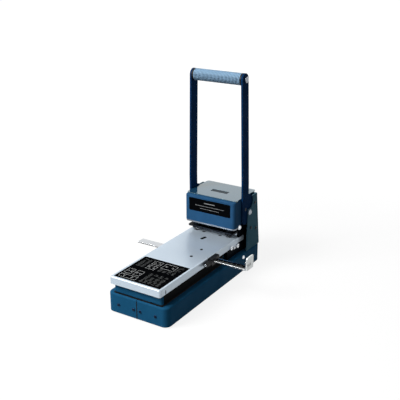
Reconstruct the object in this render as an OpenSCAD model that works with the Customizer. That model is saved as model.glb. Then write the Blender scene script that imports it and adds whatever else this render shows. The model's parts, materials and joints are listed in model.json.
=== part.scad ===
// Heavy-duty two-hole punch with an upright lever, a paper table and a sliding side gauge.
// Millimetres. X runs to the right, Y to the back, Z up; the origin is under the middle of the base.
// Distances called "from the front" are measured from the front face of the base.

/* [Base] */
// How far the base stands out beyond the table on each side
base_side = 11.5; // [9:0.5:20]
// Length of the base
base_l = 358; // [330:1:400]
// Height of the base shell without the rubber mat
base_h = 39; // [36:1:50]
// Radius of the upright corners of the base
base_r = 12.5; // [8:0.5:20]
// Outside bend radius of the base's top edge
base_bend = 3.5; // [3:0.5:6]
// Thickness of the base sheet
base_t = 2; // [1.5:0.1:2.5]
// Thickness of the base's bottom plate
floor_t = 1.6; // [1:0.1:2.5]
// Thickness of the rubber mat under the base
mat_t = 3; // [2:0.5:5]
// How far the mat stays inside the base
mat_inset = 6; // [4:1:15]
// Width of the seam in the middle of the front
seam_w = 1; // [0.4:0.1:1.5]
// Height of the front screws above the bench
front_screw_z = 20.5; // [15:0.5:28]
// Distance of the inner pair of front screws from the middle
front_screw_in = 7.5; // [6:0.5:15]
// Distance of the outer pair of front screws from the middle
front_screw_out = 42; // [30:1:48]
// Diameter of the front screws
front_screw_d = 3.5; // [3:0.5:4.5]
// Diameter of the dome bolts in the base's side walls
side_bolt_d = 5; // [4:0.5:6]
// Distance of the side dome bolts behind the punches
side_bolt_behind = 11.5; // [0:0.5:40]
// Depth of the side dome bolts below the top of the base
side_bolt_drop = 7.5; // [7.5:0.5:12]

/* [Chip drawer] */
// Outside width of the chip drawer
drawer_w = 92; // [84:1:96]
// Length of the chip drawer
drawer_l = 104; // [100:1:150]
// Wall thickness of the chip drawer
drawer_t = 1.6; // [1:0.1:2.5]
// Gap between the drawer and the sheet round it
drawer_gap = 0.4; // [0.3:0.1:0.6]
// Radius of the finger notch in the end of the drawer
finger_r = 11; // [8:0.5:14]
// Height of the drawer rails
rail_h = 12; // [6:1:20]

/* [Paper table] */
// How far the table reaches beyond the holes on each side
table_side = 17; // [16:0.5:20]
// Height of the table's surface above the bench
table_z = 79; // [78:0.5:82]
// Distance that the table reaches out in front of the base
table_out = 5; // [0:1:15]
// Distance of the table's rear edge behind the punches
table_behind = 12; // [11.5:0.5:12.5]
// Thickness of the table sheet
table_t = 1.2; // [1:0.1:1.3]
// Depth of the table's folded flanges
table_flange = 15; // [13:0.5:16]
// Outside bend radius of the table's folds
table_bend = 2.4; // [2:0.1:3]
// Radius of the table's upright corners
table_r = 3.5; // [3.2:0.1:5]
// Distance of the riser's front wall from the front
riser_front = 4; // [4:1:30]
// Distance of the riser's rear wall ahead of the punches
riser_ahead = 45; // [44:0.5:60]
// Sheet thickness of the riser
riser_t = 2; // [1.5:0.1:3]
// Upright corner radius of the riser
riser_r = 5; // [4:0.5:8]
// Diameter of the two small holes in the table
sight_d = 4.5; // [3:0.5:6]
// Distance of the small holes from the middle
sight_x = 25; // [15:1:35]
// Distances of the small holes from the front
sight_y = [148, 186]; // [100:1:190]
// Distance that the table's side flanges run on behind its rear edge
table_ear = 20; // [10:1:22]
// Width of the short slanted slot in the table
slant_w = 5.5; // [3:0.5:6]
// Length of the short slanted slot
slant_l = 15; // [10:1:18]
// Distance of the slanted slot ahead of the punches
slant_ahead = 34; // [34:0.5:36]
// Diameter of the chrome screws on the table's flanges
table_screw_d = 9; // [8:0.5:9]
// Distance of the flange screws ahead of the punches
table_screw_ahead = 24; // [20:0.5:25]

/* [Punching] */
// Distance between the two holes, which sets the widths of the table, the head and the base
pitch = 80; // [70:1:95]
// Diameter of the punches
punch_d = 7; // [5:0.5:8]
// Distance of the punches from the back of the base
punch_back = 86.5; // [84:0.5:100]
// Working stroke of the punches
stroke = 20; // [19.5:0.1:20.5]
// Running clearance of the punches and posts, on the radius
run_gap = 0.05; // [0.03:0.01:0.1]
// Free height between the table and the rubber pads
throat = 6; // [5.5:0.5:7]
// Thickness of the rubber pads
pad_t = 4; // [3:0.5:5]
// Diameter of the rubber pads
pad_d = 18; // [16:0.5:19]
// Thickness of the stripper plate
strip_t = 3; // [2:0.5:4]
// Gap between the stripper plate and the guide plate
strip_gap = 8.8; // [7.5:0.1:9.5]
// Thickness of the guide plate
guide_t = 3.2; // [3:0.1:4]
// Outside diameter of the punch bushes
bush_d = 11; // [10:0.5:12]
// Outside diameter of the die bushes
die_d = 12; // [11:0.5:13]
// Depth of the die block from front to back
die_l = 18.5; // [18:0.5:19]
// Height of the cross beam under the die block
beam_h = 10; // [8:0.5:14]
// Height of the punch bar
ram_h = 12; // [10:0.5:14]
// Height of the punch bar above the guide plate at rest
ram_lift = 34; // [33:0.5:35]
// Diameter of the guide posts
post_d = 10; // [8:0.5:10]
// Distance of the guide posts from the middle
post_x = 14; // [12:0.5:15]
// Distance of the guide posts behind the punches
post_behind = 8.5; // [8:0.5:9]
// Wire diameter of the return springs
wire_d = 1.6; // [1.2:0.1:1.8]
// Number of turns of a return spring
spring_turns = 7; // [5:1:8]

/* [Lever] */
// Distance of the pivot behind the punches
pivot_behind = 38.5; // [38:0.5:39.5]
// Height of the pivot above the guide plate
pivot_lift = 23.3; // [22.5:0.1:24]
// Diameter of the pivot shaft
shaft_d = 12; // [10:0.5:12]
// Swing of the lever, in degrees
swing = 70; // [68:1:72]
// Diameter of the rod that drives the punch bar
drive_d = 7; // [6:0.5:7]
// Clearance of the drive rod in its slots, above and below
slot_gap = 0.6; // [0.55:0.05:0.8]
// Distance of the grip's axis ahead of the pivot
grip_ahead = 19.5; // [10:0.1:30]
// Height of the grip's axis above the pivot
grip_lift = 281.4; // [250:0.1:320]
// Diameter of the grip
grip_d = 24.5; // [22:0.5:32]
// Number of rings on the grip
grip_rings = 34; // [20:1:40]
// Depth of the grooves between the rings
ring_depth = 0.9; // [0.5:0.1:1.5]
// Thickness of the dark collars at the grip's ends
collar_t = 3; // [2:0.5:5]
// Diameter of the rod in the grip
rod_d = 8; // [6:0.5:10]
// Thickness of the lever arms
arm_t = 3.8; // [3.5:0.1:4.2]
// Width of the arms at the grip
arm_top_w = 24.5; // [20:0.5:26]
// Width of the arms at their foot
arm_low_w = 25; // [23:0.5:26]
// Height of the foot's centre below the pivot
arm_drop = 10.5; // [9:0.5:11]
// Distance of the foot's centre ahead of the pivot
arm_ahead = 14.5; // [13.5:0.5:15]
// Radius of the eye round the pivot
eye_r = 13; // [11:0.5:14]
// Radius of the arm's rear shoulder above the pivot
shoulder_r = 16.5; // [16:0.5:18]
// Lean of the arms towards each other above the head, in degrees
arm_lean = 1.1; // [0.5:0.1:1.3]

/* [Head] */
// How far the cover reaches beyond the table on each side
cover_side = 3.5; // [3:0.1:4]
// Distance of the cover's front ahead of the punches
cover_ahead = 14.5; // [13.5:0.5:17.5]
// Distance of the cover's rear edges behind the punches
cover_behind = 12.5; // [4:0.5:13]
// Upright corner radius of the cover
cover_r = 7; // [6:0.5:9]
// Outside bend radius of the cover's top edge
cover_bend = 4; // [3:0.5:5]
// Sheet thickness of the cover
cover_t = 1.5; // [1:0.1:1.5]
// Height of the cover
cover_h = 58; // [57:0.5:62]
// Thickness of the lid
lid_t = 2; // [1.5:0.1:3]
// Distance of the lid's rear edge behind the pivot
lid_behind = 39; // [35:0.5:42]
// How far the lid stays inside the cover at its front
lid_front_in = 5.5; // [5:0.5:8]
// How far the lid stays inside the cover at its sides
lid_side_in = 1; // [1:0.5:6]
// Depth of the shallow mark in the lid
mark_depth = 0.6; // [0.3:0.1:1]
// Thickness of the frame cheeks
cheek_t = 4; // [3:0.1:4]
// Gap between the cover and the arms
arm_gap = 0.6; // [0.5:0.1:0.8]
// Gap between the arms and the side plates
plate_gap = 0.6; // [0.5:0.1:0.8]
// Thickness of the side plates
plate_t = 2; // [1.5:0.1:2.5]
// Diameter of the tie bolts
tie_d = 5; // [4:0.5:5]
// Diameter of the spacers on the tie bolts
spacer_d = 8; // [7.5:0.5:8]

/* [Side gauge] */
// Width of the gauge bar
bar_w = 18; // [14:1:20]
// Thickness of the gauge bar
bar_t = 2.5; // [2:0.1:3]
// Distance of the bar's front edge from the front
bar_y = 163; // [158:1:165]
// Depth of the bar's top face below the table's surface
bar_drop = 6.5; // [6:0.1:7]
// Reach of the bar beyond the table on the left
bar_left_out = 60; // [48:1:85]
// Reach of the bar beyond the table on the right
bar_right_out = 82; // [75:1:115]
// Clearance of the bar in its slots
bar_gap = 0.5; // [0.3:0.1:0.6]
// Width of the gauge's upright stop
stop_w = 26; // [24:1:40]
// Height of the upright stop
stop_h = 26.5; // [20:0.5:40]
// Thickness of the upright stop
stop_t = 2.5; // [2:0.1:4]
// Width of the guide block, along the table's edge
block_w = 28; // [26:1:36]
// Thickness of the guide block
block_t = 9.5; // [9:0.5:14]
// Diameter of the clamp knob
knob_d = 10; // [9:0.5:11]
// Length of the clamp knob
knob_l = 18; // [14:0.5:20]
// Number of flutes round the clamp knob
knob_flutes = 12; // [8:1:12]

/* [Hidden] */
$fn = 64;
// Small overlap that lets a cut run past a face
past = 1;
// Clearance on the radius between a fastener or a fixed pin and its hole
fit = 0.05;
// Clearance between sheets of one body that lie side by side
seat = 0.2;
// Step that keeps a round end from being exactly tangent to its straight sides
weld = 0.03;

// Widths, worked out from the distance between the holes
table_w = pitch + 2 * table_side;
base_w = table_w + 2 * base_side;
cover_w = table_w + 2 * cover_side;
bar_left = table_w / 2 + bar_left_out;
bar_right = table_w / 2 + bar_right_out;

// Places from the front, worked out from the back of the base
punch_y = base_l - punch_back;
post_y = punch_y + post_behind;
pivot_y = punch_y + pivot_behind;
grip_y = pivot_y - grip_ahead;
table_back = punch_y + table_behind;
riser_back = punch_y - riser_ahead;
slant_y = punch_y - slant_ahead;
table_screw_y = punch_y - table_screw_ahead;
side_bolt_y = punch_y + side_bolt_behind;
cover_front = punch_y - cover_ahead;
cover_back = punch_y + cover_behind;
lid_back = pivot_y + lid_behind;
lid_front = cover_front + lid_front_in;

// Base and drawer
base_top = mat_t + base_h;
floor_z = mat_t + floor_t;
dome_h = 3.2;
dome_w = 8;
bolt_grip = 5;
screw_grip = 3;

drawer_z = floor_z + drawer_gap;
drawer_low = 2;
drawer_top = base_top - base_t - drawer_low;
lip_side = 3;
lip_t = base_t + 1;
mouth_w = drawer_w + 2 * lip_side;

// Table
table_l = table_back + table_out;
table_under = table_z - table_t;
skirt_z = table_z - table_flange;
ear_x = table_w / 2 - table_t;
slit_behind = 1;
slit_y = table_r + slit_behind - table_out;
riser_gap = 1.2;
riser_w = table_w - 2 * table_t - 2 * riser_gap;
chip_side = 6;
chip_hole_w = pitch + 2 * chip_side;
flange_screw_drop = 12;
flange_screw_z = table_z - flange_screw_drop;
slant_x = -2.5;
slot_tilt = 12;
slotted_h = 3.5;
slotted_deep = 1.2;
slotted_w = 1.4;

// Punch head, from the table up
pad_z = table_z + throat;
strip_z = pad_z + pad_t;
spacer_z = strip_z + strip_t;
guide_z = spacer_z + strip_gap;
guide_top = guide_z + guide_t;
bush_flange = 3;
ram_z = guide_top + ram_lift;
ram_top = ram_z + ram_h;
clamp_t = 3;
clamp_l = 9;
tip_in = 1.5;
punch_tip = pad_z + tip_in;
bush_in = 1;
ram_side = 10;
ram_w = pitch + 2 * ram_side;
ram_l = 16;
lug_x = 25;
lug_t = 6;
head_rim = 2;
head_d = punch_d + 2 * head_rim;
head_h = 4;
post_gap = 0.5;
post_top = guide_top + cover_h - cover_t - post_gap;
web_wall = 2.5;
web_back = post_y + post_d / 2 + web_wall;
guide_inset = 0.5;
guide_w = cover_w - 2 * guide_inset;
head_bolt_d = 2;
head_bolt_x = cover_w / 2 + seat;
head_bolt_behind = 6.5;
head_bolt_y = punch_y + head_bolt_behind;
head_bolt_z = guide_z + guide_t / 2;
head_bolt_grip = 6;
head_dome_w = 11;
head_dome_h = 3.5;
strip_inset = 3.5;
strip_side = 5.5;
strip_r = 3;

// Linkage
pivot_z = guide_top + pivot_lift;
crank_r = stroke / 2 / sin(swing / 2);
drive_y = pivot_y - crank_r * cos(swing / 2);
drive_z = pivot_z + crank_r * sin(swing / 2);
slot_h = drive_d + 2 * slot_gap;
slot_front = pivot_y - crank_r;
slot_wall = 3.2;
lug_back = drive_y + slot_h / 2 + slot_wall;
lug_h = 17.5;
crank_gap = 1;
crank_slot = drive_d + 2 * crank_gap;
lug_root = 7;

// Frame
cheek_gap = 0.3;
cheek_x = table_w / 2 - table_t - cheek_gap;
cheek_in = cheek_x - cheek_t;
foot_ahead = 10;
cheek_foot = table_screw_y - foot_ahead;
cheek_lug_gap = 2.25;
cheek_lug = punch_y - die_l / 2 - cheek_lug_gap;
throat_gap = 1.5;
cheek_throat = table_back + throat_gap;
cheek_behind = 34;
cheek_back = pivot_y + cheek_behind;
nose_in = 6;
cheek_nose = cover_front + nose_in;
lid_gap = 2;
cheek_top = guide_top + cover_h - lid_gap;
die_h = 11.8;
beam_l = die_l - 1;
beam_behind = 1.5;
beam_y = punch_y + beam_behind;
beam_front = beam_y - beam_l / 2;
beam_top = table_under - die_h;
beam_screw_y = beam_y + 4;
beam_screw_z = beam_top - beam_h / 2;
beam_screw_grip = 8;
chip_gap = 1.25;
die_gap = 0.5;
die_relief = 0.75;
stop_plate_t = 1.2;

// Head covers
arm_x = cover_w / 2 + arm_gap;
plate_x = arm_x + arm_t + plate_gap;
plate_out = plate_x + plate_t;
cover_top = guide_top + cover_h;
lid_z = cover_top;
plate_ahead = 11;
plate_front = pivot_y - plate_ahead;
plate_lean = 5;
plate_behind = 44.5;
plate_back = pivot_y + plate_behind;
plate_top_behind = 30;
plate_back_top = pivot_y + plate_top_behind;
cheek_slope = 3;
notch_r = 15.5;
notch_ahead = 2;
notch_y = pivot_y - notch_ahead;
notch_rise = 23.7;
notch_z = pivot_z + notch_rise;
rear_t = 1.5;
tie_places = [[21, 15.7], [5.5, -36.8], [28, -44.8]];
ties = [for (p = tie_places) [pivot_y + p[0], pivot_z + p[1]]];
lid_w = cover_w - 2 * lid_side_in;
lid_r = 5;
mark_w = 40;
mark_l = 13;
mark_behind = 36;
mark_y = cover_front + mark_behind;
tie_head_d = 6.5;
tie_head_h = 1.4;
cap_d = 11;
cap_h = 3.5;

// Lever
foot_y = pivot_y - arm_ahead;
foot_z = pivot_z - arm_drop;
grip_z = pivot_z + grip_lift;
bend_over = 3;
head_reach = norm([pivot_y - cover_front, lid_z + lid_t - pivot_z]);
bend_z = pivot_z + head_reach + bend_over;
lean_run = tan(arm_lean);
tip_x = arm_x - (grip_z - bend_z) * lean_run;
tip_out = tip_x + arm_t;
grip_gap = 0.5;
grip_l = 2 * (tip_x - grip_gap - collar_t);
nut_seat = 0.2;
nut_w = 12;
nut_h = 5.5;
nut_dome = 2.5;
pivot_rim = 3;
pivot_play = 0.3;

// Side gauge
bar_z = table_z - bar_drop - bar_t;
bar_mid = bar_y + bar_w / 2;
tongue_h = 15;
rivet_d = 4;
block_x = table_w / 2;
block_behind = 1;
block_y = bar_mid + block_behind;
block_front = block_y - block_w / 2;
block_low = 1;
stop_r = 4;
flute_r = 1.2;
flute_out = 0.6;
flute_end = 3;
block_z = skirt_z;
knob_side = 0.7;
knob_x = block_x + knob_d / 2 + knob_side;
knob_z = bar_z + bar_t / 2;
knob_gap = 0.8;
screw_d = 4;
screw_gap = 0.3;

// Springs and small fasteners
coil_play = 1.2;
coil_r = post_d / 2 + wire_d / 2 + coil_play;
coil_rings = 8;
coil_sides = 6;
coil_end = 0.3;

frame_bolt_d = 3;
frame_bolt_head = 6;
frame_bolt_reach = 9;
frame_bolt_nut = 3;
bolt_ahead = 10;
bolt_behind = 25;
bolt_places = [pivot_y - bolt_ahead, pivot_y + bolt_behind];
corner_slit = 0.6;
die_screw_d = 3.5;
die_screw_x = 20;
die_screw_ahead = 3.5;
die_screw_y = punch_y - die_screw_ahead;
die_screw_foot = 3;
rivet_inset = 5;
rivet_places = [bar_y + rivet_inset, bar_y + bar_w - rivet_inset];
back_low = 2;

SIDES = [-1, 1];

// Y of a place given from the front of the base
function fy(d) = d - base_l / 2;

// Centre line of a return spring, round the Z axis
function coil_point(i) =
    let (turn = i / coil_rings, n = spring_turns, h = ram_lift - 2 * coil_end - wire_d)
    [coil_r * cos(360 * turn), coil_r * sin(360 * turn), coil_end + wire_d / 2 + h * turn / n];

// Cross-section ring of the wire at one point of the centre line
function coil_ring(i) =
    let (p = coil_point(i), a = 360 * i / coil_rings)
    [for (k = [0:coil_sides - 1])
        let (b = 360 * k / coil_sides, u = wire_d / 2 * cos(b))
        [p[0] + u * cos(a), p[1] + u * sin(a), p[2] + wire_d / 2 * sin(b)]];

// Least gap between neighbouring turns, measured on the centre line
coil_count = spring_turns * coil_rings;
coil_gap = min([for (i = [0:coil_count - coil_rings])
    norm(coil_point(i + coil_rings) - coil_point(i)) - wire_d]);
echo(spring_gap = coil_gap);

// Flat shapes

module round_rect(w, l, r) {
    square([w - 2 * r, l], center = true);
    square([w, l - 2 * r], center = true);
    for (x = SIDES, y = SIDES)
        translate([x * (w / 2 - r), y * (l / 2 - r)]) circle(r);
}

module fold_section(h, t, bend) {
    translate([-t, 0]) square([t, h - bend]);
    translate([-bend, h - bend])
        intersection() {
            difference() {
                circle(bend);
                circle(bend - t);
            }
            square(bend);
        }
}

// Shapes that several pieces share

// Sheet pan standing on its rim, closed at the top
module pan(w, l, h, t, r, bend) {
    for (k = [0:3]) {
        across = k % 2 == 0 ? w : l;
        along = k % 2 == 0 ? l : w;
        rotate(90 * k) {
            translate([across / 2, 0, 0])
                rotate([90, 0, 0])
                    linear_extrude(along - 2 * r, center = true) fold_section(h, t, bend);
            translate([across / 2 - r, along / 2 - r, 0])
                rotate_extrude(angle = 90) translate([r, 0]) fold_section(h, t, bend);
        }
    }
    translate([0, 0, h - t]) linear_extrude(t) round_rect(w - 2 * bend, l - 2 * bend, r - bend);
}

// Round bar along X between two places
module x_rod(d, x0, x1) {
    translate([x0, 0, 0]) rotate([0, 90, 0]) cylinder(d = d, h = x1 - x0);
}

// Low dome that bulges along +X from the plane x = 0
module x_dome(d, h) {
    ball = (d * d / 4 + h * h) / (2 * h);
    rotate([0, 90, 0])
        rotate_extrude()
            intersection() {
                translate([0, h - ball]) circle(ball);
                square([d / 2, h]);
            }
}

// Plate cut from a side outline given as Y from the front and height, between x0 and x0 + t
module side_cut(x0, t) {
    translate([x0, fy(0), 0]) rotate([90, 0, 90]) linear_extrude(t) children();
}

// Base

module base_shell() {
    color("#23366b")
        difference() {
            translate([0, 0, mat_t]) pan(base_w, base_l, base_h, base_t, base_r, base_bend);
            translate([-seam_w / 2, fy(-past), 0])
                cube([seam_w, base_bend + past, base_top + past]);
            for (x = [front_screw_in, front_screw_out], s = SIDES)
                translate([s * x, fy(-past), front_screw_z])
                    rotate([-90, 0, 0]) cylinder(d = front_screw_d + 2 * fit, h = base_t + 2 * past);
            translate([0, fy(side_bolt_y), base_top - side_bolt_drop])
                x_rod(side_bolt_d + 2 * fit, -base_w, base_w);
            translate([-chip_hole_w / 2, fy(beam_front), base_top - 2 * base_t])
                cube([chip_hole_w, beam_l, 3 * base_t]);
            translate([-mouth_w / 2, fy(base_l - base_t - past), 0])
                cube([mouth_w, base_t + 2 * past, drawer_top + drawer_gap]);
            for (s = SIDES, y = bolt_places)
                translate([s * (cheek_x - cheek_t / 2), fy(y), base_top - 2 * base_t])
                    cylinder(d = frame_bolt_d + 2 * fit, h = 3 * base_t);
        }
}

module base_floor() {
    w = base_w - 2 * base_t - 2 * seat;
    l = base_l - 2 * base_t - 2 * seat;
    color("#3a3d42")
        translate([0, 0, mat_t]) linear_extrude(floor_t) round_rect(w, l, base_r - base_t - seat);
}

module rubber_mat() {
    r = base_r - mat_inset / 2;
    color("#191a1c")
        linear_extrude(mat_t) round_rect(base_w - 2 * mat_inset, base_l - 2 * mat_inset, r);
}

module front_screws() {
    color("#15181f")
        for (x = [front_screw_in, front_screw_out], s = SIDES)
            translate([s * x, fy(0), front_screw_z])
                rotate(-90) {
                    x_dome(front_screw_d * 1.8, front_screw_d * 0.5);
                    x_rod(front_screw_d, -base_t - screw_grip, 0);
                }
}

module side_bolts() {
    color("#d4d7da")
        for (s = SIDES) {
            translate([s * base_w / 2, fy(side_bolt_y), base_top - side_bolt_drop])
                rotate(s > 0 ? 0 : 180) {
                    x_dome(dome_w, dome_h);
                    x_rod(side_bolt_d, -base_t - bolt_grip, 0);
                }
            translate([s * head_bolt_x, fy(head_bolt_y), head_bolt_z])
                rotate(s > 0 ? 0 : 180) {
                    x_dome(head_dome_w, head_dome_h);
                    x_rod(head_bolt_d, guide_w / 2 - head_bolt_x - head_bolt_grip, 0);
                }
        }
}

module drawer_rails() {
    x = drawer_w / 2 + drawer_gap;
    color("#3a3d42")
        for (s = SIDES)
            translate([s > 0 ? x : -x - drawer_t, fy(base_l - drawer_l), floor_z])
                cube([drawer_t, drawer_l - base_t - drawer_low, rail_h]);
}

module chip_drawer() {
    h = drawer_top - drawer_z;
    end_w = mouth_w - 2 * drawer_gap;
    y0 = fy(base_l - drawer_l);
    color("#2b3f78")
        difference() {
            union() {
                translate([-drawer_w / 2, y0, drawer_z]) cube([drawer_w, drawer_l - lip_t / 2, h - drawer_low]);
                translate([-end_w / 2, fy(base_l - lip_t), drawer_z]) cube([end_w, lip_t, h]);
            }
            translate([-drawer_w / 2 + drawer_t, y0 + drawer_t, drawer_z + drawer_t])
                cube([drawer_w - 2 * drawer_t, drawer_l - lip_t - drawer_t, h]);
            translate([0, fy(base_l - lip_t - past), drawer_top])
                rotate([-90, 0, 0]) cylinder(r = finger_r, h = lip_t + 2 * past);
        }
}

// Paper table

module table_riser() {
    l = riser_back - riser_front;
    color("#22325f")
        difference() {
            translate([0, fy(riser_front + l / 2), base_top])
                linear_extrude(table_under - base_top)
                    difference() {
                        round_rect(riser_w, l, riser_r);
                        round_rect(riser_w - 2 * riser_t, l - 2 * riser_t, riser_r - riser_t);
                    }
            translate([-riser_w, fy(bar_y - bar_gap), bar_z - bar_gap])
                cube([2 * riser_w, bar_w + 2 * bar_gap, table_z]);
        }
}

module paper_table() {
    color("#c3c9d4")
        difference() {
            union() {
                translate([0, fy(table_l / 2 - table_out), skirt_z])
                    pan(table_w, table_l, table_flange, table_t, table_r, table_bend);
                for (s = SIDES)
                    translate([s > 0 ? ear_x : -table_w / 2, fy(table_back - table_r - past), skirt_z])
                        cube([table_t, table_ear + table_r + past, table_flange - table_bend]);
            }
            translate([-table_w, fy(bar_y - bar_gap), bar_z - bar_gap])
                cube([2 * table_w, bar_w + 2 * bar_gap, bar_t + 2 * bar_gap]);
            for (s = SIDES)
                translate([s * pitch / 2, fy(punch_y), table_under - past])
                    cylinder(d = die_d + 2 * fit, h = table_t + 2 * past);
            for (s = SIDES)
                translate([s * die_screw_x, fy(die_screw_y), table_under - past])
                    cylinder(d = die_screw_d * 2 + 2 * fit, h = table_t + 2 * past);
            for (y = sight_y)
                translate([sight_x, fy(y), table_under - past])
                    cylinder(d = sight_d, h = table_t + 2 * past);
            translate([slant_x, fy(slant_y), table_under - past])
                rotate(-slot_tilt)
                    linear_extrude(table_t + 2 * past) round_rect(slant_w, slant_l, slant_w / 2 - weld);
            translate([0, fy(table_screw_y), flange_screw_z]) x_rod(screw_d + 2 * fit, -table_w, table_w);
            beam_room();
            for (s = SIDES)
                translate([s * table_w / 2 - table_t, fy(slit_y), skirt_z - past])
                    cube([2 * table_t, corner_slit, table_flange - table_bend + past]);
        }
}

// What the table's skirt leaves free for the die beam and the frame behind it
module beam_room() {
    front = beam_front - seat;
    low = skirt_z - past;
    translate([-table_w, fy(front), low])
        cube([2 * table_w, table_back + table_ear - front + past, beam_top + seat - low]);
}

// Slotted screw along X whose head sits on the plane x = 0
module slotted_screw(grip) {
    difference() {
        union() {
            x_rod(table_screw_d, 0, slotted_h);
            x_rod(screw_d, -grip, 0);
        }
        translate([slotted_h - slotted_deep, -table_screw_d, -slotted_w / 2])
            cube([slotted_deep + past, 2 * table_screw_d, slotted_w]);
    }
}

module table_screws() {
    color("#d4d7da")
        for (s = SIDES) {
            translate([s * table_w / 2, fy(table_screw_y), flange_screw_z])
                rotate(s > 0 ? 0 : 180) slotted_screw(table_t + cheek_gap + cheek_t);
            translate([s * cheek_x, fy(beam_screw_y), beam_screw_z])
                rotate(s > 0 ? 0 : 180) slotted_screw(beam_screw_grip);
        }
}

module back_stop() {
    w = 2 * cheek_in;
    z0 = beam_top + back_low;
    color("#b9bec4")
        translate([-w / 2, fy(table_back), z0]) cube([w, stop_plate_t, strip_z - z0]);
}

// Die set

module die_beam() {
    color("#aeb4bb")
        difference() {
            translate([-cheek_x, fy(beam_front), beam_top - beam_h])
                cube([2 * cheek_x, beam_l, beam_h]);
            for (s = SIDES)
                translate([s * cheek_x, fy(beam_screw_y), beam_screw_z])
                    rotate(s > 0 ? 0 : 180) x_rod(screw_d + 2 * fit, -beam_screw_grip, past);
            for (s = SIDES)
                translate([s * pitch / 2, fy(punch_y), beam_top - beam_h - past])
                    cylinder(d = punch_d + 2 * chip_gap, h = beam_h + 2 * past);
        }
}

module die_block() {
    w = 2 * (cheek_in - die_gap);
    color("#8f959c")
        difference() {
            translate([-w / 2, fy(punch_y - die_l / 2), beam_top]) cube([w, die_l, die_h]);
            for (s = SIDES)
                translate([s * pitch / 2, fy(punch_y), beam_top - past])
                    cylinder(d = die_d + 2 * fit, h = die_h + 2 * past);
            for (s = SIDES)
                translate([s * die_screw_x, fy(die_screw_y), beam_top + die_screw_foot - past])
                    cylinder(d = die_screw_d + 2 * fit, h = die_h);
        }
}

module die_bushes() {
    h = table_z - beam_top;
    color("#d9dce0")
        for (s = SIDES)
            translate([s * pitch / 2, fy(punch_y), beam_top])
                difference() {
                    cylinder(d = die_d, h = h);
                    translate([0, 0, -past]) cylinder(d = punch_d + 2 * run_gap, h = h + 2 * past);
                    translate([0, 0, -past]) cylinder(d = punch_d + 2 * die_relief, h = h / 2 + past);
                }
}

module die_screws() {
    color("#6d737a")
        for (s = SIDES)
            translate([s * die_screw_x, fy(die_screw_y), 0]) {
                translate([0, 0, table_under]) cylinder(d = die_screw_d * 2, h = table_t);
                translate([0, 0, beam_top + die_screw_foot])
                    cylinder(d = die_screw_d, h = die_h - die_screw_foot + table_t / 2);
            }
}

// Frame

// Curved slot that the drive rod sweeps ahead of the pivot
module crank_slot_outline() {
    half = swing / 2;
    far = 2 * crank_r;
    intersection() {
        difference() {
            circle(crank_r + crank_slot / 2);
            circle(crank_r - crank_slot / 2);
        }
        polygon([[0, 0], far * [-cos(half), sin(half)], [-far, 0], far * [-cos(half), -sin(half)]]);
    }
    for (a = [-half, half])
        translate(crank_r * [-cos(a), sin(a)]) circle(d = crank_slot - 2 * weld);
}

module cheek_outline() {
    difference() {
        polygon([
            [cheek_foot, base_top], [cheek_back, base_top], [plate_back_top - cheek_slope, cheek_top],
            [cheek_nose, cheek_top], [cheek_nose, guide_top], [cheek_throat, guide_top],
            [cheek_throat, beam_top], [cheek_lug, beam_top], [cheek_lug, table_under],
            [cheek_foot, table_under]
        ]);
        translate([pivot_y, pivot_z]) {
            circle(d = shaft_d + 2 * fit);
            crank_slot_outline();
        }
        for (p = ties) translate(p) circle(d = tie_d + 2 * fit);
        translate([table_screw_y, flange_screw_z]) circle(d = screw_d + 2 * fit);
        translate([beam_front - fit, beam_top - beam_h]) square([beam_l + 2 * fit, beam_h + past]);
    }
}

module cheek(s) {
    color("#1f2d57")
        difference() {
            side_cut(s > 0 ? cheek_in : -cheek_x, cheek_t) cheek_outline();
            for (y = bolt_places)
                translate([s * (cheek_x - cheek_t / 2), fy(y), base_top - past])
                    cylinder(d = frame_bolt_d + 2 * fit, h = frame_bolt_reach + 2 * past);
        }
}

module cheek_left() {
    cheek(-1);
}

module cheek_right() {
    cheek(1);
}

module frame_bolts() {
    color("#6d737a")
        for (s = SIDES, y = bolt_places)
            translate([s * (cheek_x - cheek_t / 2), fy(y), base_top - base_t]) {
                cylinder(d = frame_bolt_d, h = base_t + frame_bolt_reach);
                translate([0, 0, -frame_bolt_nut]) cylinder(d = frame_bolt_head, h = frame_bolt_nut, $fn = 6);
            }
}

// Punch head

module guide_plate() {
    w = guide_w;
    front = cover_front + guide_inset;
    back = cheek_throat - seat;
    color("#c9cdd2")
        difference() {
            translate([0, 0, guide_z])
                linear_extrude(guide_t)
                    union() {
                        translate([-w / 2, fy(front + cover_r)]) square([w, back - front - cover_r]);
                        translate([-w / 2 + cover_r, fy(front)]) square([w - 2 * cover_r, cover_r]);
                        for (s = SIDES)
                            translate([s * (w / 2 - cover_r), fy(front + cover_r)]) circle(cover_r);
                    }
            for (s = SIDES)
                translate([s * pitch / 2, fy(punch_y), guide_z - past])
                    cylinder(d = bush_d + 2 * fit, h = guide_t + 2 * past);
            for (s = SIDES)
                translate([s * post_x, fy(post_y), guide_z - past])
                    cylinder(d = post_d + 2 * fit, h = guide_t + 2 * past);
            for (s = SIDES)
                translate([s * w / 2, fy(head_bolt_y), head_bolt_z])
                    rotate(s > 0 ? 0 : 180) x_rod(head_bolt_d + 2 * fit, -head_bolt_grip, past);
        }
}

module punch_bushes() {
    color("#b5bac0")
        for (s = SIDES)
            translate([s * pitch / 2, fy(punch_y), 0])
                difference() {
                    union() {
                        translate([0, 0, pad_z + bush_in])
                            cylinder(d = bush_d, h = guide_top - pad_z - bush_in);
                        translate([0, 0, guide_top]) cylinder(d = bush_d + 4, h = bush_flange);
                    }
                    translate([0, 0, pad_z]) cylinder(d = punch_d + 2 * run_gap, h = 2 * ram_z);
                }
}

module bush_rings(d, z, h) {
    for (s = SIDES)
        translate([s * pitch / 2, fy(punch_y), z])
            difference() {
                cylinder(d = d, h = h);
                translate([0, 0, -past]) cylinder(d = bush_d + 2 * fit, h = h + 2 * past);
            }
}

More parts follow.
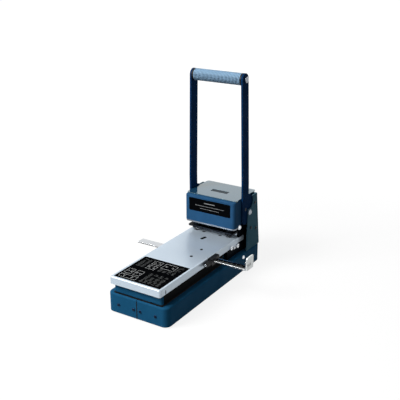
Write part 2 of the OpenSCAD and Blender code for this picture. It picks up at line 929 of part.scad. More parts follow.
module strip_spacers() {
    color("#8f959c") bush_rings(bush_d + 5, spacer_z, strip_gap);
}

module rubber_pads() {
    color("#17181a") bush_rings(pad_d, pad_z, pad_t);
}

module stripper_plate() {
    w = cover_w - 2 * strip_side;
    front = cover_front + strip_inset;
    l = table_back - guide_inset - front;
    color("#c9cdd2")
        difference() {
            translate([0, fy(front + l / 2), strip_z]) linear_extrude(strip_t) round_rect(w, l, strip_r);
            for (s = SIDES)
                translate([s * pitch / 2, fy(punch_y), strip_z - past])
                    cylinder(d = bush_d + 2 * fit, h = strip_t + 2 * past);
        }
}

module guide_posts() {
    color("#d9dce0")
        for (s = SIDES)
            translate([s * post_x, fy(post_y), guide_z]) cylinder(d = post_d, h = post_top - guide_z);
}

module return_springs() {
    rings = [for (i = [0:coil_count]) each coil_ring(i)];
    ring_of = function(i, k) i * coil_sides + k % coil_sides;
    walls = [for (i = [0:coil_count - 1], k = [0:coil_sides - 1]) each [
        [ring_of(i, k), ring_of(i + 1, k + 1), ring_of(i, k + 1)],
        [ring_of(i, k), ring_of(i + 1, k), ring_of(i + 1, k + 1)]
    ]];
    caps = [for (k = [1:coil_sides - 2]) each [
        [0, k, k + 1],
        [ring_of(coil_count, 0), ring_of(coil_count, k + 1), ring_of(coil_count, k)]
    ]];
    color("#9aa0a6")
        for (s = SIDES)
            translate([s * post_x, fy(post_y), guide_top]) polyhedron(rings, concat(walls, caps));
}

module punch_bar() {
    lug_low = drive_z - lug_h / 2;
    color("#7c838b")
        difference() {
            union() {
                translate([-ram_w / 2, fy(punch_y - ram_l / 2), ram_z]) cube([ram_w, ram_l, ram_h]);
                translate([-lug_x - lug_t, fy(punch_y), ram_z])
                    cube([2 * (lug_x + lug_t), web_back - punch_y, ram_h]);
                for (s = SIDES)
                    translate([s > 0 ? lug_x : -lug_x - lug_t, fy(web_back - lug_root), lug_low])
                        cube([lug_t, lug_back - web_back + lug_root, lug_h]);
            }
            for (s = SIDES) {
                translate([s * post_x, fy(post_y), ram_z - past])
                    cylinder(d = post_d + 2 * run_gap, h = ram_h + 2 * past);
                translate([s * pitch / 2, fy(punch_y), ram_z - past])
                    cylinder(d = punch_d + 2 * fit, h = ram_h + 2 * past);
                translate([s * pitch / 2, fy(punch_y), ram_top - head_h])
                    cylinder(d = head_d + 2 * fit, h = head_h + past);
            }
            side_cut(-ram_w, 2 * ram_w)
                union() {
                    translate([slot_front, drive_z]) circle(d = slot_h);
                    translate([drive_y, drive_z]) circle(d = slot_h);
                    translate([slot_front, drive_z - slot_h / 2]) square([drive_y - slot_front, slot_h]);
                }
        }
}

module punch_pins() {
    color("#e3e6ea")
        for (s = SIDES)
            translate([s * pitch / 2, fy(punch_y), 0])
                difference() {
                    union() {
                        translate([0, 0, punch_tip]) cylinder(d = punch_d, h = ram_top - punch_tip);
                        translate([0, 0, ram_top - head_h]) cylinder(d = head_d, h = head_h);
                    }
                    translate([0, 0, punch_tip])
                        rotate([0, 45, 0]) cube([punch_d / 3, 2 * punch_d, punch_d / 3], center = true);
                }
}

module pin_plate() {
    color("#8f959c")
        translate([-ram_w / 2, fy(punch_y - ram_l / 2), ram_top]) cube([ram_w, clamp_l, clamp_t]);
}

// Lever

module pivot_shaft() {
    color("#b5bac0") translate([0, fy(pivot_y), pivot_z]) x_rod(shaft_d, -plate_out, plate_out);
}

module pivot_spacers() {
    color("#8f959c")
        for (s = SIDES)
            translate([0, fy(pivot_y), pivot_z])
                rotate(s > 0 ? 0 : 180)
                    difference() {
                        x_rod(shaft_d + 2 * pivot_rim, cheek_x, arm_x - pivot_play);
                        x_rod(shaft_d + 2 * fit, 0, 2 * arm_x);
                    }
}

module pivot_caps() {
    color("#e3e6ea")
        for (s = SIDES)
            translate([s * plate_out, fy(pivot_y), pivot_z]) rotate(s > 0 ? 0 : 180) x_dome(cap_d, cap_h);
}

// Outline between the round ends of the arm, tangent to both
module arm_outline() {
    span = norm([grip_y - foot_y, grip_z - foot_z]);
    lean = atan2(grip_z - foot_z, grip_y - foot_y);
    low = arm_low_w / 2;
    top = arm_top_w / 2;
    tilt = asin((low - top) / span);
    translate([foot_y, foot_z])
        rotate(lean)
            union() {
                polygon([
                    low * [sin(tilt), -cos(tilt)], [span, 0] + top * [sin(tilt), -cos(tilt)],
                    [span, 0] + top * [sin(tilt), cos(tilt)], low * [sin(tilt), cos(tilt)]
                ]);
                circle(low + weld);
                translate([span, 0]) circle(top + weld);
            }
    translate([pivot_y, pivot_z]) circle(eye_r);
    translate([notch_y, notch_z]) circle(shoulder_r);
}

// Front view of the right arm: upright beside the head, leaning inwards above it
module arm_strip() {
    top = grip_z + arm_top_w;
    low = foot_z - arm_low_w;
    lean_in = (top - bend_z) * lean_run;
    x0 = arm_x;
    x1 = arm_x + arm_t;
    polygon([[x0, low], [x1, low], [x1, bend_z], [x1 - lean_in, top], [x0 - lean_in, top], [x0, bend_z]]);
}

module arm() {
    color("#24386f")
        intersection() {
            side_cut(tip_x - arm_t, arm_x - tip_x + 3 * arm_t)
                difference() {
                    arm_outline();
                    translate([pivot_y, pivot_z]) circle(d = shaft_d + 2 * run_gap);
                    translate([drive_y, drive_z]) circle(d = drive_d + 2 * fit);
                    translate([grip_y, grip_z]) circle(d = rod_d + 2 * fit);
                }
            translate([0, fy(pivot_y), 0])
                rotate([90, 0, 0]) linear_extrude(6 * arm_low_w, center = true) arm_strip();
        }
}

module arm_left() {
    mirror([1, 0, 0]) arm();
}

module arm_right() {
    arm();
}

module drive_rod() {
    reach = arm_x + arm_t;
    color("#b5bac0") translate([0, fy(drive_y), drive_z]) x_rod(drive_d, -reach, reach);
}

module grip_rod() {
    reach = tip_out + nut_seat + nut_h - nut_dome;
    color("#b5bac0") translate([0, fy(grip_y), grip_z]) x_rod(rod_d, -reach, reach);
}

module hand_grip() {
    ring = grip_l / grip_rings;
    groove = ring / 4;
    color("#aab4c2")
        translate([-grip_l / 2, fy(grip_y), grip_z])
            rotate([0, 90, 0])
                difference() {
                    rotate_extrude()
                        union() {
                            square([grip_d / 2 - ring_depth, grip_l]);
                            for (i = [0:grip_rings - 1])
                                translate([0, i * ring + groove / 2]) square([grip_d / 2, ring - groove]);
                        }
                    translate([0, 0, -past]) cylinder(d = rod_d + 2 * fit, h = grip_l + 2 * past);
                }
}

module grip_collars() {
    color("#20242c")
        for (s = SIDES)
            translate([0, fy(grip_y), grip_z])
                rotate(s > 0 ? 0 : 180)
                    difference() {
                        x_rod(grip_d, grip_l / 2, grip_l / 2 + collar_t);
                        x_rod(rod_d + 2 * fit, 0, grip_l);
                    }
}

module grip_nuts() {
    color("#d9dce0")
        for (s = SIDES)
            translate([s * (tip_out + nut_seat), fy(grip_y), grip_z])
                rotate(s > 0 ? 0 : 180)
                    difference() {
                        union() {
                            x_rod(nut_w, 0, nut_h - nut_dome);
                            translate([nut_h - nut_dome, 0, 0]) x_dome(nut_w, nut_dome);
                        }
                        x_rod(rod_d + 2 * fit, -past, nut_h - nut_dome);
                    }
}

// Head covers

module plate_outline() {
    difference() {
        polygon([
            [plate_front, base_top], [plate_back, base_top], [plate_back_top, cover_top],
            [plate_front + plate_lean, cover_top]
        ]);
        translate([notch_y, notch_z]) circle(notch_r);
        translate([notch_y - 2 * notch_r, notch_z]) square([2.5 * notch_r, 2 * notch_r]);
        translate([pivot_y, pivot_z]) circle(d = shaft_d + 2 * fit);
        for (p = ties) translate(p) circle(d = tie_d + 2 * fit);
    }
}

module side_plate(s) {
    color("#2c3a5e") side_cut(s > 0 ? plate_x : -plate_out, plate_t) plate_outline();
}

module side_plate_left() {
    side_plate(-1);
}

module side_plate_right() {
    side_plate(1);
}

module tie_spacers() {
    color("#6d737a")
        for (s = SIDES, p = ties)
            translate([0, fy(p[0]), p[1]])
                rotate(s > 0 ? 0 : 180)
                    difference() {
                        x_rod(spacer_d, cheek_x, plate_x);
                        x_rod(tie_d + 2 * fit, 0, 2 * plate_x);
                    }
}

module tie_bolts() {
    color("#1a1d24")
        for (s = SIDES, p = ties)
            translate([0, fy(p[0]), p[1]])
                rotate(s > 0 ? 0 : 180) {
                    x_rod(tie_d, cheek_in, plate_out);
                    x_rod(tie_head_d, plate_out, plate_out + tie_head_h);
                }
}

module rear_panel() {
    x = plate_x - seat;
    color("#2c3a5e")
        side_cut(-x, 2 * x)
            polygon([
                [plate_back - rear_t, base_top], [plate_back, base_top],
                [plate_back_top, cover_top], [plate_back_top - rear_t, cover_top]
            ]);
}

module head_cover() {
    l = cover_back - cover_front;
    deep = 2 * l;
    color("#1f3a86")
        translate([0, fy(cover_front + l), guide_top])
            difference() {
                pan(cover_w, deep, cover_h, cover_t, cover_r, cover_bend);
                translate([-cover_w, 0, -past]) cube([2 * cover_w, deep, cover_h + 2 * past]);
            }
}

module head_lid() {
    l = lid_back - lid_front;
    color("#cfd3d8")
        difference() {
            translate([0, fy(lid_front + l / 2), lid_z]) linear_extrude(lid_t) round_rect(lid_w, l, lid_r);
            translate([-mark_w / 2, fy(mark_y), lid_z + lid_t - mark_depth]) cube([mark_w, mark_l, lid_t]);
        }
}

// Side gauge

module gauge_bar() {
    color("#d4d7da")
        union() {
            translate([-bar_left, fy(bar_y), bar_z]) cube([bar_left + bar_right, bar_w, bar_t]);
            translate([bar_right - bar_t, fy(bar_y), bar_z]) cube([bar_t, bar_w, bar_t + tongue_h]);
        }
}

module gauge_stop() {
    color("#dfe3e8")
        difference() {
            side_cut(bar_right, stop_t)
                translate([bar_y + stop_w / 2, bar_z + stop_h / 2]) round_rect(stop_w, stop_h, stop_r);
            gauge_rivet_holes();
        }
}

module gauge_rivet_holes() {
    for (y = rivet_places)
        translate([0, fy(y), bar_z + bar_t + tongue_h / 2])
            x_rod(rivet_d + 2 * fit, bar_right - past, bar_right + stop_t + past);
}

module gauge_rivets() {
    color("#8f959c")
        for (y = rivet_places)
            translate([0, fy(y), bar_z + bar_t + tongue_h / 2]) {
                x_rod(rivet_d, bar_right, bar_right + stop_t);
                translate([bar_right + stop_t, 0, 0]) x_dome(rivet_d * 1.7, rivet_d * 0.4);
            }
}

module gauge_guide() {
    color("#1b1c1f")
        difference() {
            translate([block_x, fy(block_front), block_z])
                cube([block_t, block_w, table_flange - block_low]);
            translate([block_x - past, fy(bar_y - bar_gap), bar_z - bar_gap])
                cube([block_t + 2 * past, bar_w + 2 * bar_gap, bar_t + 2 * bar_gap]);
            translate([knob_x, fy(block_front - past), knob_z])
                rotate([-90, 0, 0]) cylinder(d = screw_d + 2 * run_gap, h = block_w / 2);
        }
}

module gauge_knob() {
    front = block_front - knob_gap - knob_l;
    color("#17181a")
        translate([knob_x, fy(front), knob_z])
            rotate([-90, 0, 0]) {
                difference() {
                    cylinder(d = knob_d, h = knob_l);
                    for (k = [0:knob_flutes - 1])
                        rotate(360 * k / knob_flutes)
                            translate([knob_d / 2 + flute_out, 0, -past])
                                cylinder(r = flute_r, h = knob_l - flute_end + past, $fn = 16);
                }
                translate([0, 0, knob_l])
                    cylinder(d = screw_d, h = bar_y - front - knob_l - screw_gap);
            }
}

base_shell();
base_floor();
rubber_mat();
front_screws();
side_bolts();
drawer_rails();
chip_drawer();
table_riser();
paper_table();
table_screws();
back_stop();
die_beam();
die_block();
die_bushes();
die_screws();
cheek_left();
cheek_right();
frame_bolts();
guide_plate();
punch_bushes();
strip_spacers();
stripper_plate();
rubber_pads();
guide_posts();
return_springs();
punch_bar();
punch_pins();
pin_plate();
pivot_shaft();
pivot_spacers();
pivot_caps();
side_plate_left();
side_plate_right();
tie_spacers();
tie_bolts();
rear_panel();
head_cover();
head_lid();
arm_left();
arm_right();
drive_rod();
grip_rod();
hand_grip();
grip_collars();
grip_nuts();
gauge_bar();
gauge_stop();
gauge_rivets();
gauge_guide();
gauge_knob();
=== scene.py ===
import json
import math

import bmesh
import bpy
from mathutils import Matrix, Vector

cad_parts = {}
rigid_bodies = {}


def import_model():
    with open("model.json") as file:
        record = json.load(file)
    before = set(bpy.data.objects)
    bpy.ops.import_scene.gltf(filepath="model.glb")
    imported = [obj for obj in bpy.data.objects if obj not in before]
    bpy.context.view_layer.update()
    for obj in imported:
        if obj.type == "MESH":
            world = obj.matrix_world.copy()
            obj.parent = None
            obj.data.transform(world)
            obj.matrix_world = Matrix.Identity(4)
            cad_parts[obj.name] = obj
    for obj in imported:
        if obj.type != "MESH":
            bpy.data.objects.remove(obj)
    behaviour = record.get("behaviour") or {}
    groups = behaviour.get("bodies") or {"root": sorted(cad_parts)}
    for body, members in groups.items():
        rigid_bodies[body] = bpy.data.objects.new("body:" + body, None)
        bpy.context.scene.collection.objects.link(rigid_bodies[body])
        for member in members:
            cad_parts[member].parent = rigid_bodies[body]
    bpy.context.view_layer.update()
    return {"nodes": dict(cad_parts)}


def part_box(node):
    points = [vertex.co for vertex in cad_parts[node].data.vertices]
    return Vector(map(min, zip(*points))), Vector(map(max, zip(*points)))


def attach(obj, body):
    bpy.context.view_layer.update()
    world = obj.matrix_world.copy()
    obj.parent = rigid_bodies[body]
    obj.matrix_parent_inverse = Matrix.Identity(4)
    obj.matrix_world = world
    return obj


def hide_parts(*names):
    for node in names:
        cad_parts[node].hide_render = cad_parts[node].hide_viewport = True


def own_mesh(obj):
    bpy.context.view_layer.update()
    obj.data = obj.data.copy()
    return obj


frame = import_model()
nodes = frame["nodes"]
in_scene = bpy.context.scene.collection.objects

MM = 0.001
SIDES = (-1, 1)
FORWARD = (0, -1, 0)
TO_FRONT = Matrix.Rotation(math.pi / 2, 4, "X")

# Camera, worked out from the photograph's vanishing lines
CAMERA_PLACE = Vector((0.7194, -1.1060, 0.6729))
CAMERA_TARGET = Vector((0.01041, 0.02465, 0.17687))
CAMERA_LENS = 64.27

# Soft light
LAMP_AIM = Vector((0.0, 0.0, 0.15))
LAMPS = (
    # name, place, size in metres, power in watts
    ("key_softbox", (-1.15, -1.8, 1.75), 1.1, 57.0),
    ("top_softbox", (-0.7, -1.1, 1.9), 1.4, 17.0),
    ("back_softbox", (-0.4, 2.3, 1.3), 1.2, 14.0),
    ("side_softbox", (2.2, -0.9, 0.5), 0.9, 3.5),
)
WORLD_FILL = 0.1

# Floor of white paper, with a glow that rises between two distances from the machine
FLOOR_HALF = 12.0
FLOOR_GREY = 0.18
GLOW_NEAR = 0.86
GLOW_RISE = (0.5, 2.0)

# Thin films, printed ink and the fine bevel of a slab as a share of its thickness
PANEL_T = 0.35 * MM
PANEL_R = 1.5 * MM
INK_T = 0.1 * MM
INK_SUNK = 0.02 * MM
INK_LIFT = Vector((0, 0, PANEL_T - INK_SUNK))
SLAB_BEVEL = 0.4

# Table's printed panel; its blocks are placed in millimetres from its middle, to the right and to the rear
TABLE_PANEL = (104 * MM, 100 * MM)
TABLE_PANEL_FRONT = 5 * MM
TABLE_PANEL_X = 1 * MM
SHEET_LINE = 0.6 * MM
SHEET_BLOCKS = (
    # width, height, hole radius, hole spread, places
    (20, 15, 2.2, 5.0, ((-12, 35), (-12, 15))),
    (28, 21, 2.2, 7.0, ((18, 32),)),
    (15, 20, 2.0, 3.6, ((-38, -18), (-18, -18))),
    (38, 12, 2.0, 9.0, ((-27, -39),)),
)
ROW_BLOCKS = (
    # middle to the right, middle to the rear, width, height, rows, columns
    (-36, 25, 20, 32, 9, 2),
    (40, 32, 11, 18, 6, 2),
    (24, 13, 40, 9, 4, 4),
    (22, -19, 46, 24, 8, 4),
    (22, -39, 46, 8, 4, 5),
)
ROW_BARS = {"Bar": 0.9 * MM, "Thickness": INK_T, "Least": 0.35, "Most": 0.85, "Gaps": 0.12}
ROW_SEED = 3

# Head cover's printed panel and its rules
COVER_PANEL = (99.6 * MM, 28.2 * MM)
COVER_PANEL_LOW = 23.5 * MM
COVER_RULES = (
    # middle upwards, length and thickness in millimetres
    (6.5, 26, 2.0),
    (-0.5, 70, 1.0),
    (-6.5, 46, 1.0),
)
RULE_ROUND = 0.3

# Plate set into the lid
MARK = (39.4 * MM, 12.4 * MM)
MARK_FRONT = 36.3 * MM
MARK_DEPTH = 0.6 * MM
MARK_T = 0.4 * MM
MARK_R = 1 * MM

# Side gauge's black strip, scale, white line that paints the highlight along its front edge, and the black
# line at its far end
BAR_T = 2.5 * MM
STRIP_IN = 2.8 * MM
STRIP_T = 0.15 * MM
STRIP_GAP = 1 * MM
STRIP_R = 0.5 * MM
TICK_PITCH = 2.5 * MM
TICK_INSET = 2 * TICK_PITCH
TICKS = {"Pitch": TICK_PITCH, "Width": 0.6 * MM, "Short": 5 * MM, "Long": 9 * MM, "Height": INK_T}
LONG_TICK = 4.0
HIGHLIGHT_W = 2.4 * MM
HIGHLIGHT_GAP = 0.2 * MM
BAR_LINE_H = 1.4 * MM
BAR_LINE_GAP = 5 * MM
LINE_R = 0.3 * MM

# Dark bead in the front seam: painted shade for the dark inside of the seam
SEAM_SHADE_W = 1.9 * MM
SEAM_SHADE_T = 0.3 * MM
SEAM_SHADE_R = 0.4 * MM
SEAM_SHADE_LOW = 2.5 * MM
SEAM_SHADE_HIGH = 38.5 * MM

# Black plugs in the table's small holes, and a black slip over its slanted slot: painted shade for the dark
# inside of the holes and the slot
TABLE_T = 1.2 * MM
SIGHT_HOLES = ((25 * MM, 148 * MM), (25 * MM, 186 * MM))
PLUG_D = 4.4 * MM
PLUG_HEAD_D = 6.2 * MM
PLUG_HEAD_T = 0.35 * MM
SLANT_PLACE = (-2.5 * MM, 237.5 * MM)
SLANT = (7 * MM, 16.5 * MM)
SLANT_TILT = math.radians(-12)
SLANT_T = 0.2 * MM

# Black panels on the sides of the riser and the dark strip under it, both painted shade, and the dark slots
# in the table's flanges
SHADE_PANEL_END = 6 * MM
SHADE_PANEL_GAP = 0.5 * MM
SHADE_PANEL_TOP = 67 * MM
SHADE_PANEL_T = 0.5 * MM
SHADE_PANEL_R = 1 * MM
CONTACT_SHADE_OUT = 1.2 * MM
CONTACT_SHADE_H = 3 * MM
CONTACT_SHADE_R = 4 * MM
SLOT_BEHIND = 13.2 * MM
SLOT_SIZE = (2 * MM, 8 * MM)
SLOT_LOW = 64.6 * MM
SLOT_T = 0.12 * MM
SLOT_R = 0.4 * MM

# Sizes that part.scad gives to pieces drawn again here
GRIP_RINGS = 34
RING_DEPTH = 0.9 * MM
SPRING_TURNS = 7
WIRE = 1.6 * MM
FRONT_SCREWS_X = (7.5 * MM, 42 * MM)
FRONT_SCREW_Z = 20.5 * MM
TIES = ((152 * MM, 143 * MM), (136.5 * MM, 90.5 * MM), (159 * MM, 82.5 * MM))

# Fasteners: head, ball that domes it, crossed or six-sided recess, and shank
FRONT_SCREW = {
    "Radius": 3.15 * MM, "Height": 1.75 * MM, "Ball": 4.4 * MM, "Recess": 3.6 * MM, "Blade": 0.9 * MM,
    "Depth": 0.9 * MM, "Socket": False, "Shank radius": 1.75 * MM, "Shank": 5 * MM}
TIE_BOLT = {
    "Radius": 3.25 * MM, "Height": 1.4 * MM, "Ball": 13 * MM, "Recess": 3.6 * MM, "Blade": 1 * MM,
    "Depth": 0.9 * MM, "Socket": True, "Shank radius": 2.5 * MM, "Shank": 16 * MM}
KNOB_SCREW = {
    "Radius": 3 * MM, "Height": 0.8 * MM, "Ball": 9 * MM, "Recess": 3 * MM, "Blade": 0.8 * MM,
    "Depth": 0.5 * MM, "Socket": False, "Shank radius": 1.5 * MM, "Shank": 4 * MM}

# Grip's grooves get little painted shade above one height and full painted shade below another, both in
# radii above its middle
GRIP_SHADE_START = 0.8
GRIP_SHADE_FULL = 0.2

# Fineness of what the trees grow
RING_STEPS = 8
GROOVE_POWER = 3.0
MERGE = 0.001 * MM

# Range that most of a noise lies in, and the cosines of the normal's turn that are no edge and a full edge
NOISE_LOW = 0.3
NOISE_HIGH = 0.7
EDGE_NONE = 0.97
EDGE_FULL = 0.75


# Small helpers

def colour(code):
    """Linear RGBA of an sRGB hex code such as 1f3a5f."""
    parts = [int(code[i:i + 2], 16) / 255 for i in (0, 2, 4)]
    return [p / 12.92 if p <= 0.04045 else ((p + 0.055) / 1.055) ** 2.4 for p in parts] + [1.0]


def add(tree, kind, links=None, **settings):
    """Adds a node with its settings, and gives each input in links a value, a link or several links.

    Map Range's inputs go by number: 0 the value, 1 and 2 the range it has, 3 and 4 the range it gets.
    So do Mix's for colours: 0 the share of the second colour, 6 and 7 the two colours.
    """
    made = tree.nodes.new(kind)
    for key, value in settings.items():
        setattr(made, key, value)
    for key, value in (links or {}).items():
        several = isinstance(value, list) and isinstance(value[0], bpy.types.NodeSocket)
        for item in value if several else [value]:
            if isinstance(item, bpy.types.NodeSocket):
                tree.links.new(item, made.inputs[key])
            else:
                made.inputs[key].default_value = item
    return made


def new_material(name, sockets):
    """New material: itself, its tree, its shader and the Object coordinates."""
    material = bpy.data.materials.new(name)
    material.use_nodes = True
    tree = material.node_tree
    shader = tree.nodes["Principled BSDF"]
    for key, value in sockets.items():
        shader.inputs[key].default_value = value
    place = add(tree, "ShaderNodeTexCoord").outputs["Object"]
    return material, tree, shader, place


def edge_rounding(tree, radius):
    """Normal rounded over at the edges, and how much of an edge each point is, 0 to 1."""
    rounded_normal = add(tree, "ShaderNodeBevel", {"Radius": radius}, samples=6).outputs["Normal"]
    true_normal = add(tree, "ShaderNodeNewGeometry").outputs["True Normal"]
    turn = add(tree, "ShaderNodeVectorMath", {
        0: rounded_normal, 1: true_normal}, operation="DOT_PRODUCT").outputs["Value"]
    edge = add(tree, "ShaderNodeMapRange", {0: turn, 1: EDGE_NONE, 2: EDGE_FULL, 3: 0.0, 4: 1.0})
    return rounded_normal, edge.outputs["Result"]


def dress(tree, shader, skin, gloss, bump):
    """Gives a shader its colour, roughness and normal."""
    tree.links.new(skin, shader.inputs["Base Color"])
    tree.links.new(gloss, shader.inputs["Roughness"])
    tree.links.new(bump, shader.inputs["Normal"])


# Materials

def stove_enamel(name, paint, shade, pale_tone, shine, gloss_range=(0.38, 0.5), edge_r=0.9 * MM, coat=None):
    """Stove enamel on folded steel: satin or glossy, with faint orange peel, fine scuffs, and edges painted
    paler as worn paint and painted highlight.
    """
    material, tree, shader, place = new_material(name, {"Specular IOR Level": shine, **(coat or {})})
    rounded_normal, edge = edge_rounding(tree, edge_r)
    low, high = gloss_range
    drift = add(tree, "ShaderNodeTexNoise", {
        "Vector": place, "Scale": 1 / (40 * MM), "Detail": 3.0}).outputs["Fac"]
    # Real orange peel is about 1 mm across; it is drawn at 2 mm so that it shows.
    peel = add(tree, "ShaderNodeTexNoise", {
        "Vector": place, "Scale": 1 / (2 * MM), "Detail": 2.0}).outputs["Fac"]
    # Scuffs are hair-fine; they are drawn 0.7 mm wide and 30 mm long so that they show.
    drawn = add(tree, "ShaderNodeMapping", {
        "Vector": place, "Scale": (1 / (30 * MM), 1 / (30 * MM), 1 / (0.7 * MM))}).outputs[0]
    scuff = add(tree, "ShaderNodeTexNoise", {"Vector": drawn, "Scale": 1.0, "Detail": 4.0}).outputs["Fac"]
    cloudy = add(tree, "ShaderNodeMapRange", {
        0: drift, 1: NOISE_LOW, 2: NOISE_HIGH, 3: 0.0, 4: 1.0}).outputs["Result"]
    body = add(tree, "ShaderNodeMix", {
        0: cloudy, 6: colour(paint), 7: colour(shade)}, data_type="RGBA").outputs[2]
    # Only the noise's peaks are scuffs, and they take up to a tenth of the pale colour.
    scuffed = add(tree, "ShaderNodeMapRange", {0: scuff, 1: 0.62, 2: 0.8, 3: 0.0, 4: 0.1}).outputs["Result"]
    # Edges take the pale colour: part worn paint, part painted highlight.
    paleness = add(tree, "ShaderNodeMath", {
        0: edge, 1: peel, 2: scuffed}, operation="MULTIPLY_ADD").outputs["Value"]
    skin = add(tree, "ShaderNodeMix", {0: paleness, 6: body, 7: colour(pale_tone)}, data_type="RGBA").outputs[2]
    gloss = add(tree, "ShaderNodeMapRange", {
        0: drift, 1: NOISE_LOW, 2: NOISE_HIGH, 3: low, 4: high}).outputs["Result"]
    bump = add(tree, "ShaderNodeBump", {
        "Strength": 0.12, "Distance": 0.1 * MM, "Height": peel,
        "Normal": rounded_normal}).outputs["Normal"]
    dress(tree, shader, skin, gloss, bump)
    return material


def silver_lacquer(name, tone, flake_tone, metallic, gloss_range):
    """Aluminium-flake lacquer on sheet: pale, part metallic, with faint flakes and rub marks from paper."""
    material, tree, shader, place = new_material(name, {"Metallic": metallic, "Specular IOR Level": 0.3})
    rounded_normal, _ = edge_rounding(tree, 0.8 * MM)
    low, high = gloss_range
    # Flakes are about 0.05 mm; they are drawn at 0.9 mm so that they show.
    flake = add(tree, "ShaderNodeTexNoise", {
        "Vector": place, "Scale": 1 / (0.9 * MM), "Detail": 2.0}).outputs["Fac"]
    cloud = add(tree, "ShaderNodeTexNoise", {
        "Vector": place, "Scale": 1 / (70 * MM), "Detail": 2.0}).outputs["Fac"]
    # Paper slides along Y, so its marks run that way; they are drawn 1.2 mm wide so that they show.
    slid = add(tree, "ShaderNodeMapping", {
        "Vector": place, "Scale": (1 / (1.2 * MM), 1 / (90 * MM), 1 / (90 * MM))}).outputs[0]
    rub = add(tree, "ShaderNodeTexNoise", {"Vector": slid, "Scale": 1.0, "Detail": 3.0}).outputs["Fac"]
    mixed = add(tree, "ShaderNodeMath", {0: flake, 1: cloud}, operation="MULTIPLY").outputs["Value"]
    # The product of two noises lies mostly between 0.12 and 0.45.
    amount = add(tree, "ShaderNodeMapRange", {0: mixed, 1: 0.12, 2: 0.45, 3: 0.0, 4: 1.0}).outputs["Result"]
    skin = add(tree, "ShaderNodeMix", {
        0: amount, 6: colour(flake_tone), 7: colour(tone)}, data_type="RGBA").outputs[2]
    gloss = add(tree, "ShaderNodeMapRange", {
        0: rub, 1: NOISE_LOW, 2: NOISE_HIGH, 3: low, 4: high}).outputs["Result"]
    bump = add(tree, "ShaderNodeBump", {
        "Strength": 0.05, "Distance": 0.05 * MM, "Height": flake,
        "Normal": rounded_normal}).outputs["Normal"]
    dress(tree, shader, skin, gloss, bump)
    return material


def worked_steel(name, tone, dull_tone, gloss_range, grain):
    """Steel with the marks of its working: streaks of that length and spacing, in millimetres along X."""
    material, tree, shader, place = new_material(name, {"Metallic": 1.0})
    rounded_normal, _ = edge_rounding(tree, 0.4 * MM)
    low, high = gloss_range
    long, apart = grain
    drawn = add(tree, "ShaderNodeMapping", {
        "Vector": place, "Scale": (1 / (long * MM), 1 / (apart * MM), 1 / (apart * MM))}).outputs[0]
    streak = add(tree, "ShaderNodeTexNoise", {"Vector": drawn, "Scale": 1.0, "Detail": 3.0}).outputs["Fac"]
    amount = add(tree, "ShaderNodeMapRange", {
        0: streak, 1: NOISE_LOW, 2: NOISE_HIGH, 3: 0.0, 4: 1.0}).outputs["Result"]
    skin = add(tree, "ShaderNodeMix", {
        0: amount, 6: colour(dull_tone), 7: colour(tone)}, data_type="RGBA").outputs[2]
    gloss = add(tree, "ShaderNodeMapRange", {
        0: streak, 1: NOISE_LOW, 2: NOISE_HIGH, 3: high, 4: low}).outputs["Result"]
    bump = add(tree, "ShaderNodeBump", {
        "Strength": 0.06, "Distance": 0.05 * MM, "Height": streak,
        "Normal": rounded_normal}).outputs["Normal"]
    dress(tree, shader, skin, gloss, bump)
    return material


def moulded(name, tone, pale_tone, roughness, grain_mm, shine):
    """Moulded plastic, rubber, printed film or ink: even colour, a fine grain and slightly paler edges."""
    material, tree, shader, place = new_material(name, {"Specular IOR Level": shine})
    rounded_normal, edge = edge_rounding(tree, 0.5 * MM)
    grain = add(tree, "ShaderNodeTexNoise", {
        "Vector": place, "Scale": 1 / (grain_mm * MM), "Detail": 2.0}).outputs["Fac"]
    paleness = add(tree, "ShaderNodeMath", {0: edge, 1: grain}, operation="MULTIPLY").outputs["Value"]
    skin = add(tree, "ShaderNodeMix", {
        0: paleness, 6: colour(tone), 7: colour(pale_tone)}, data_type="RGBA").outputs[2]
    gloss = add(tree, "ShaderNodeMapRange", {
        0: grain, 1: NOISE_LOW, 2: NOISE_HIGH, 3: roughness - 0.05, 4: roughness + 0.05}).outputs["Result"]
    bump = add(tree, "ShaderNodeBump", {
        "Strength": 0.15, "Distance": 0.08 * MM, "Height": grain,
        "Normal": rounded_normal}).outputs["Normal"]
    dress(tree, shader, skin, gloss, bump)
    return material


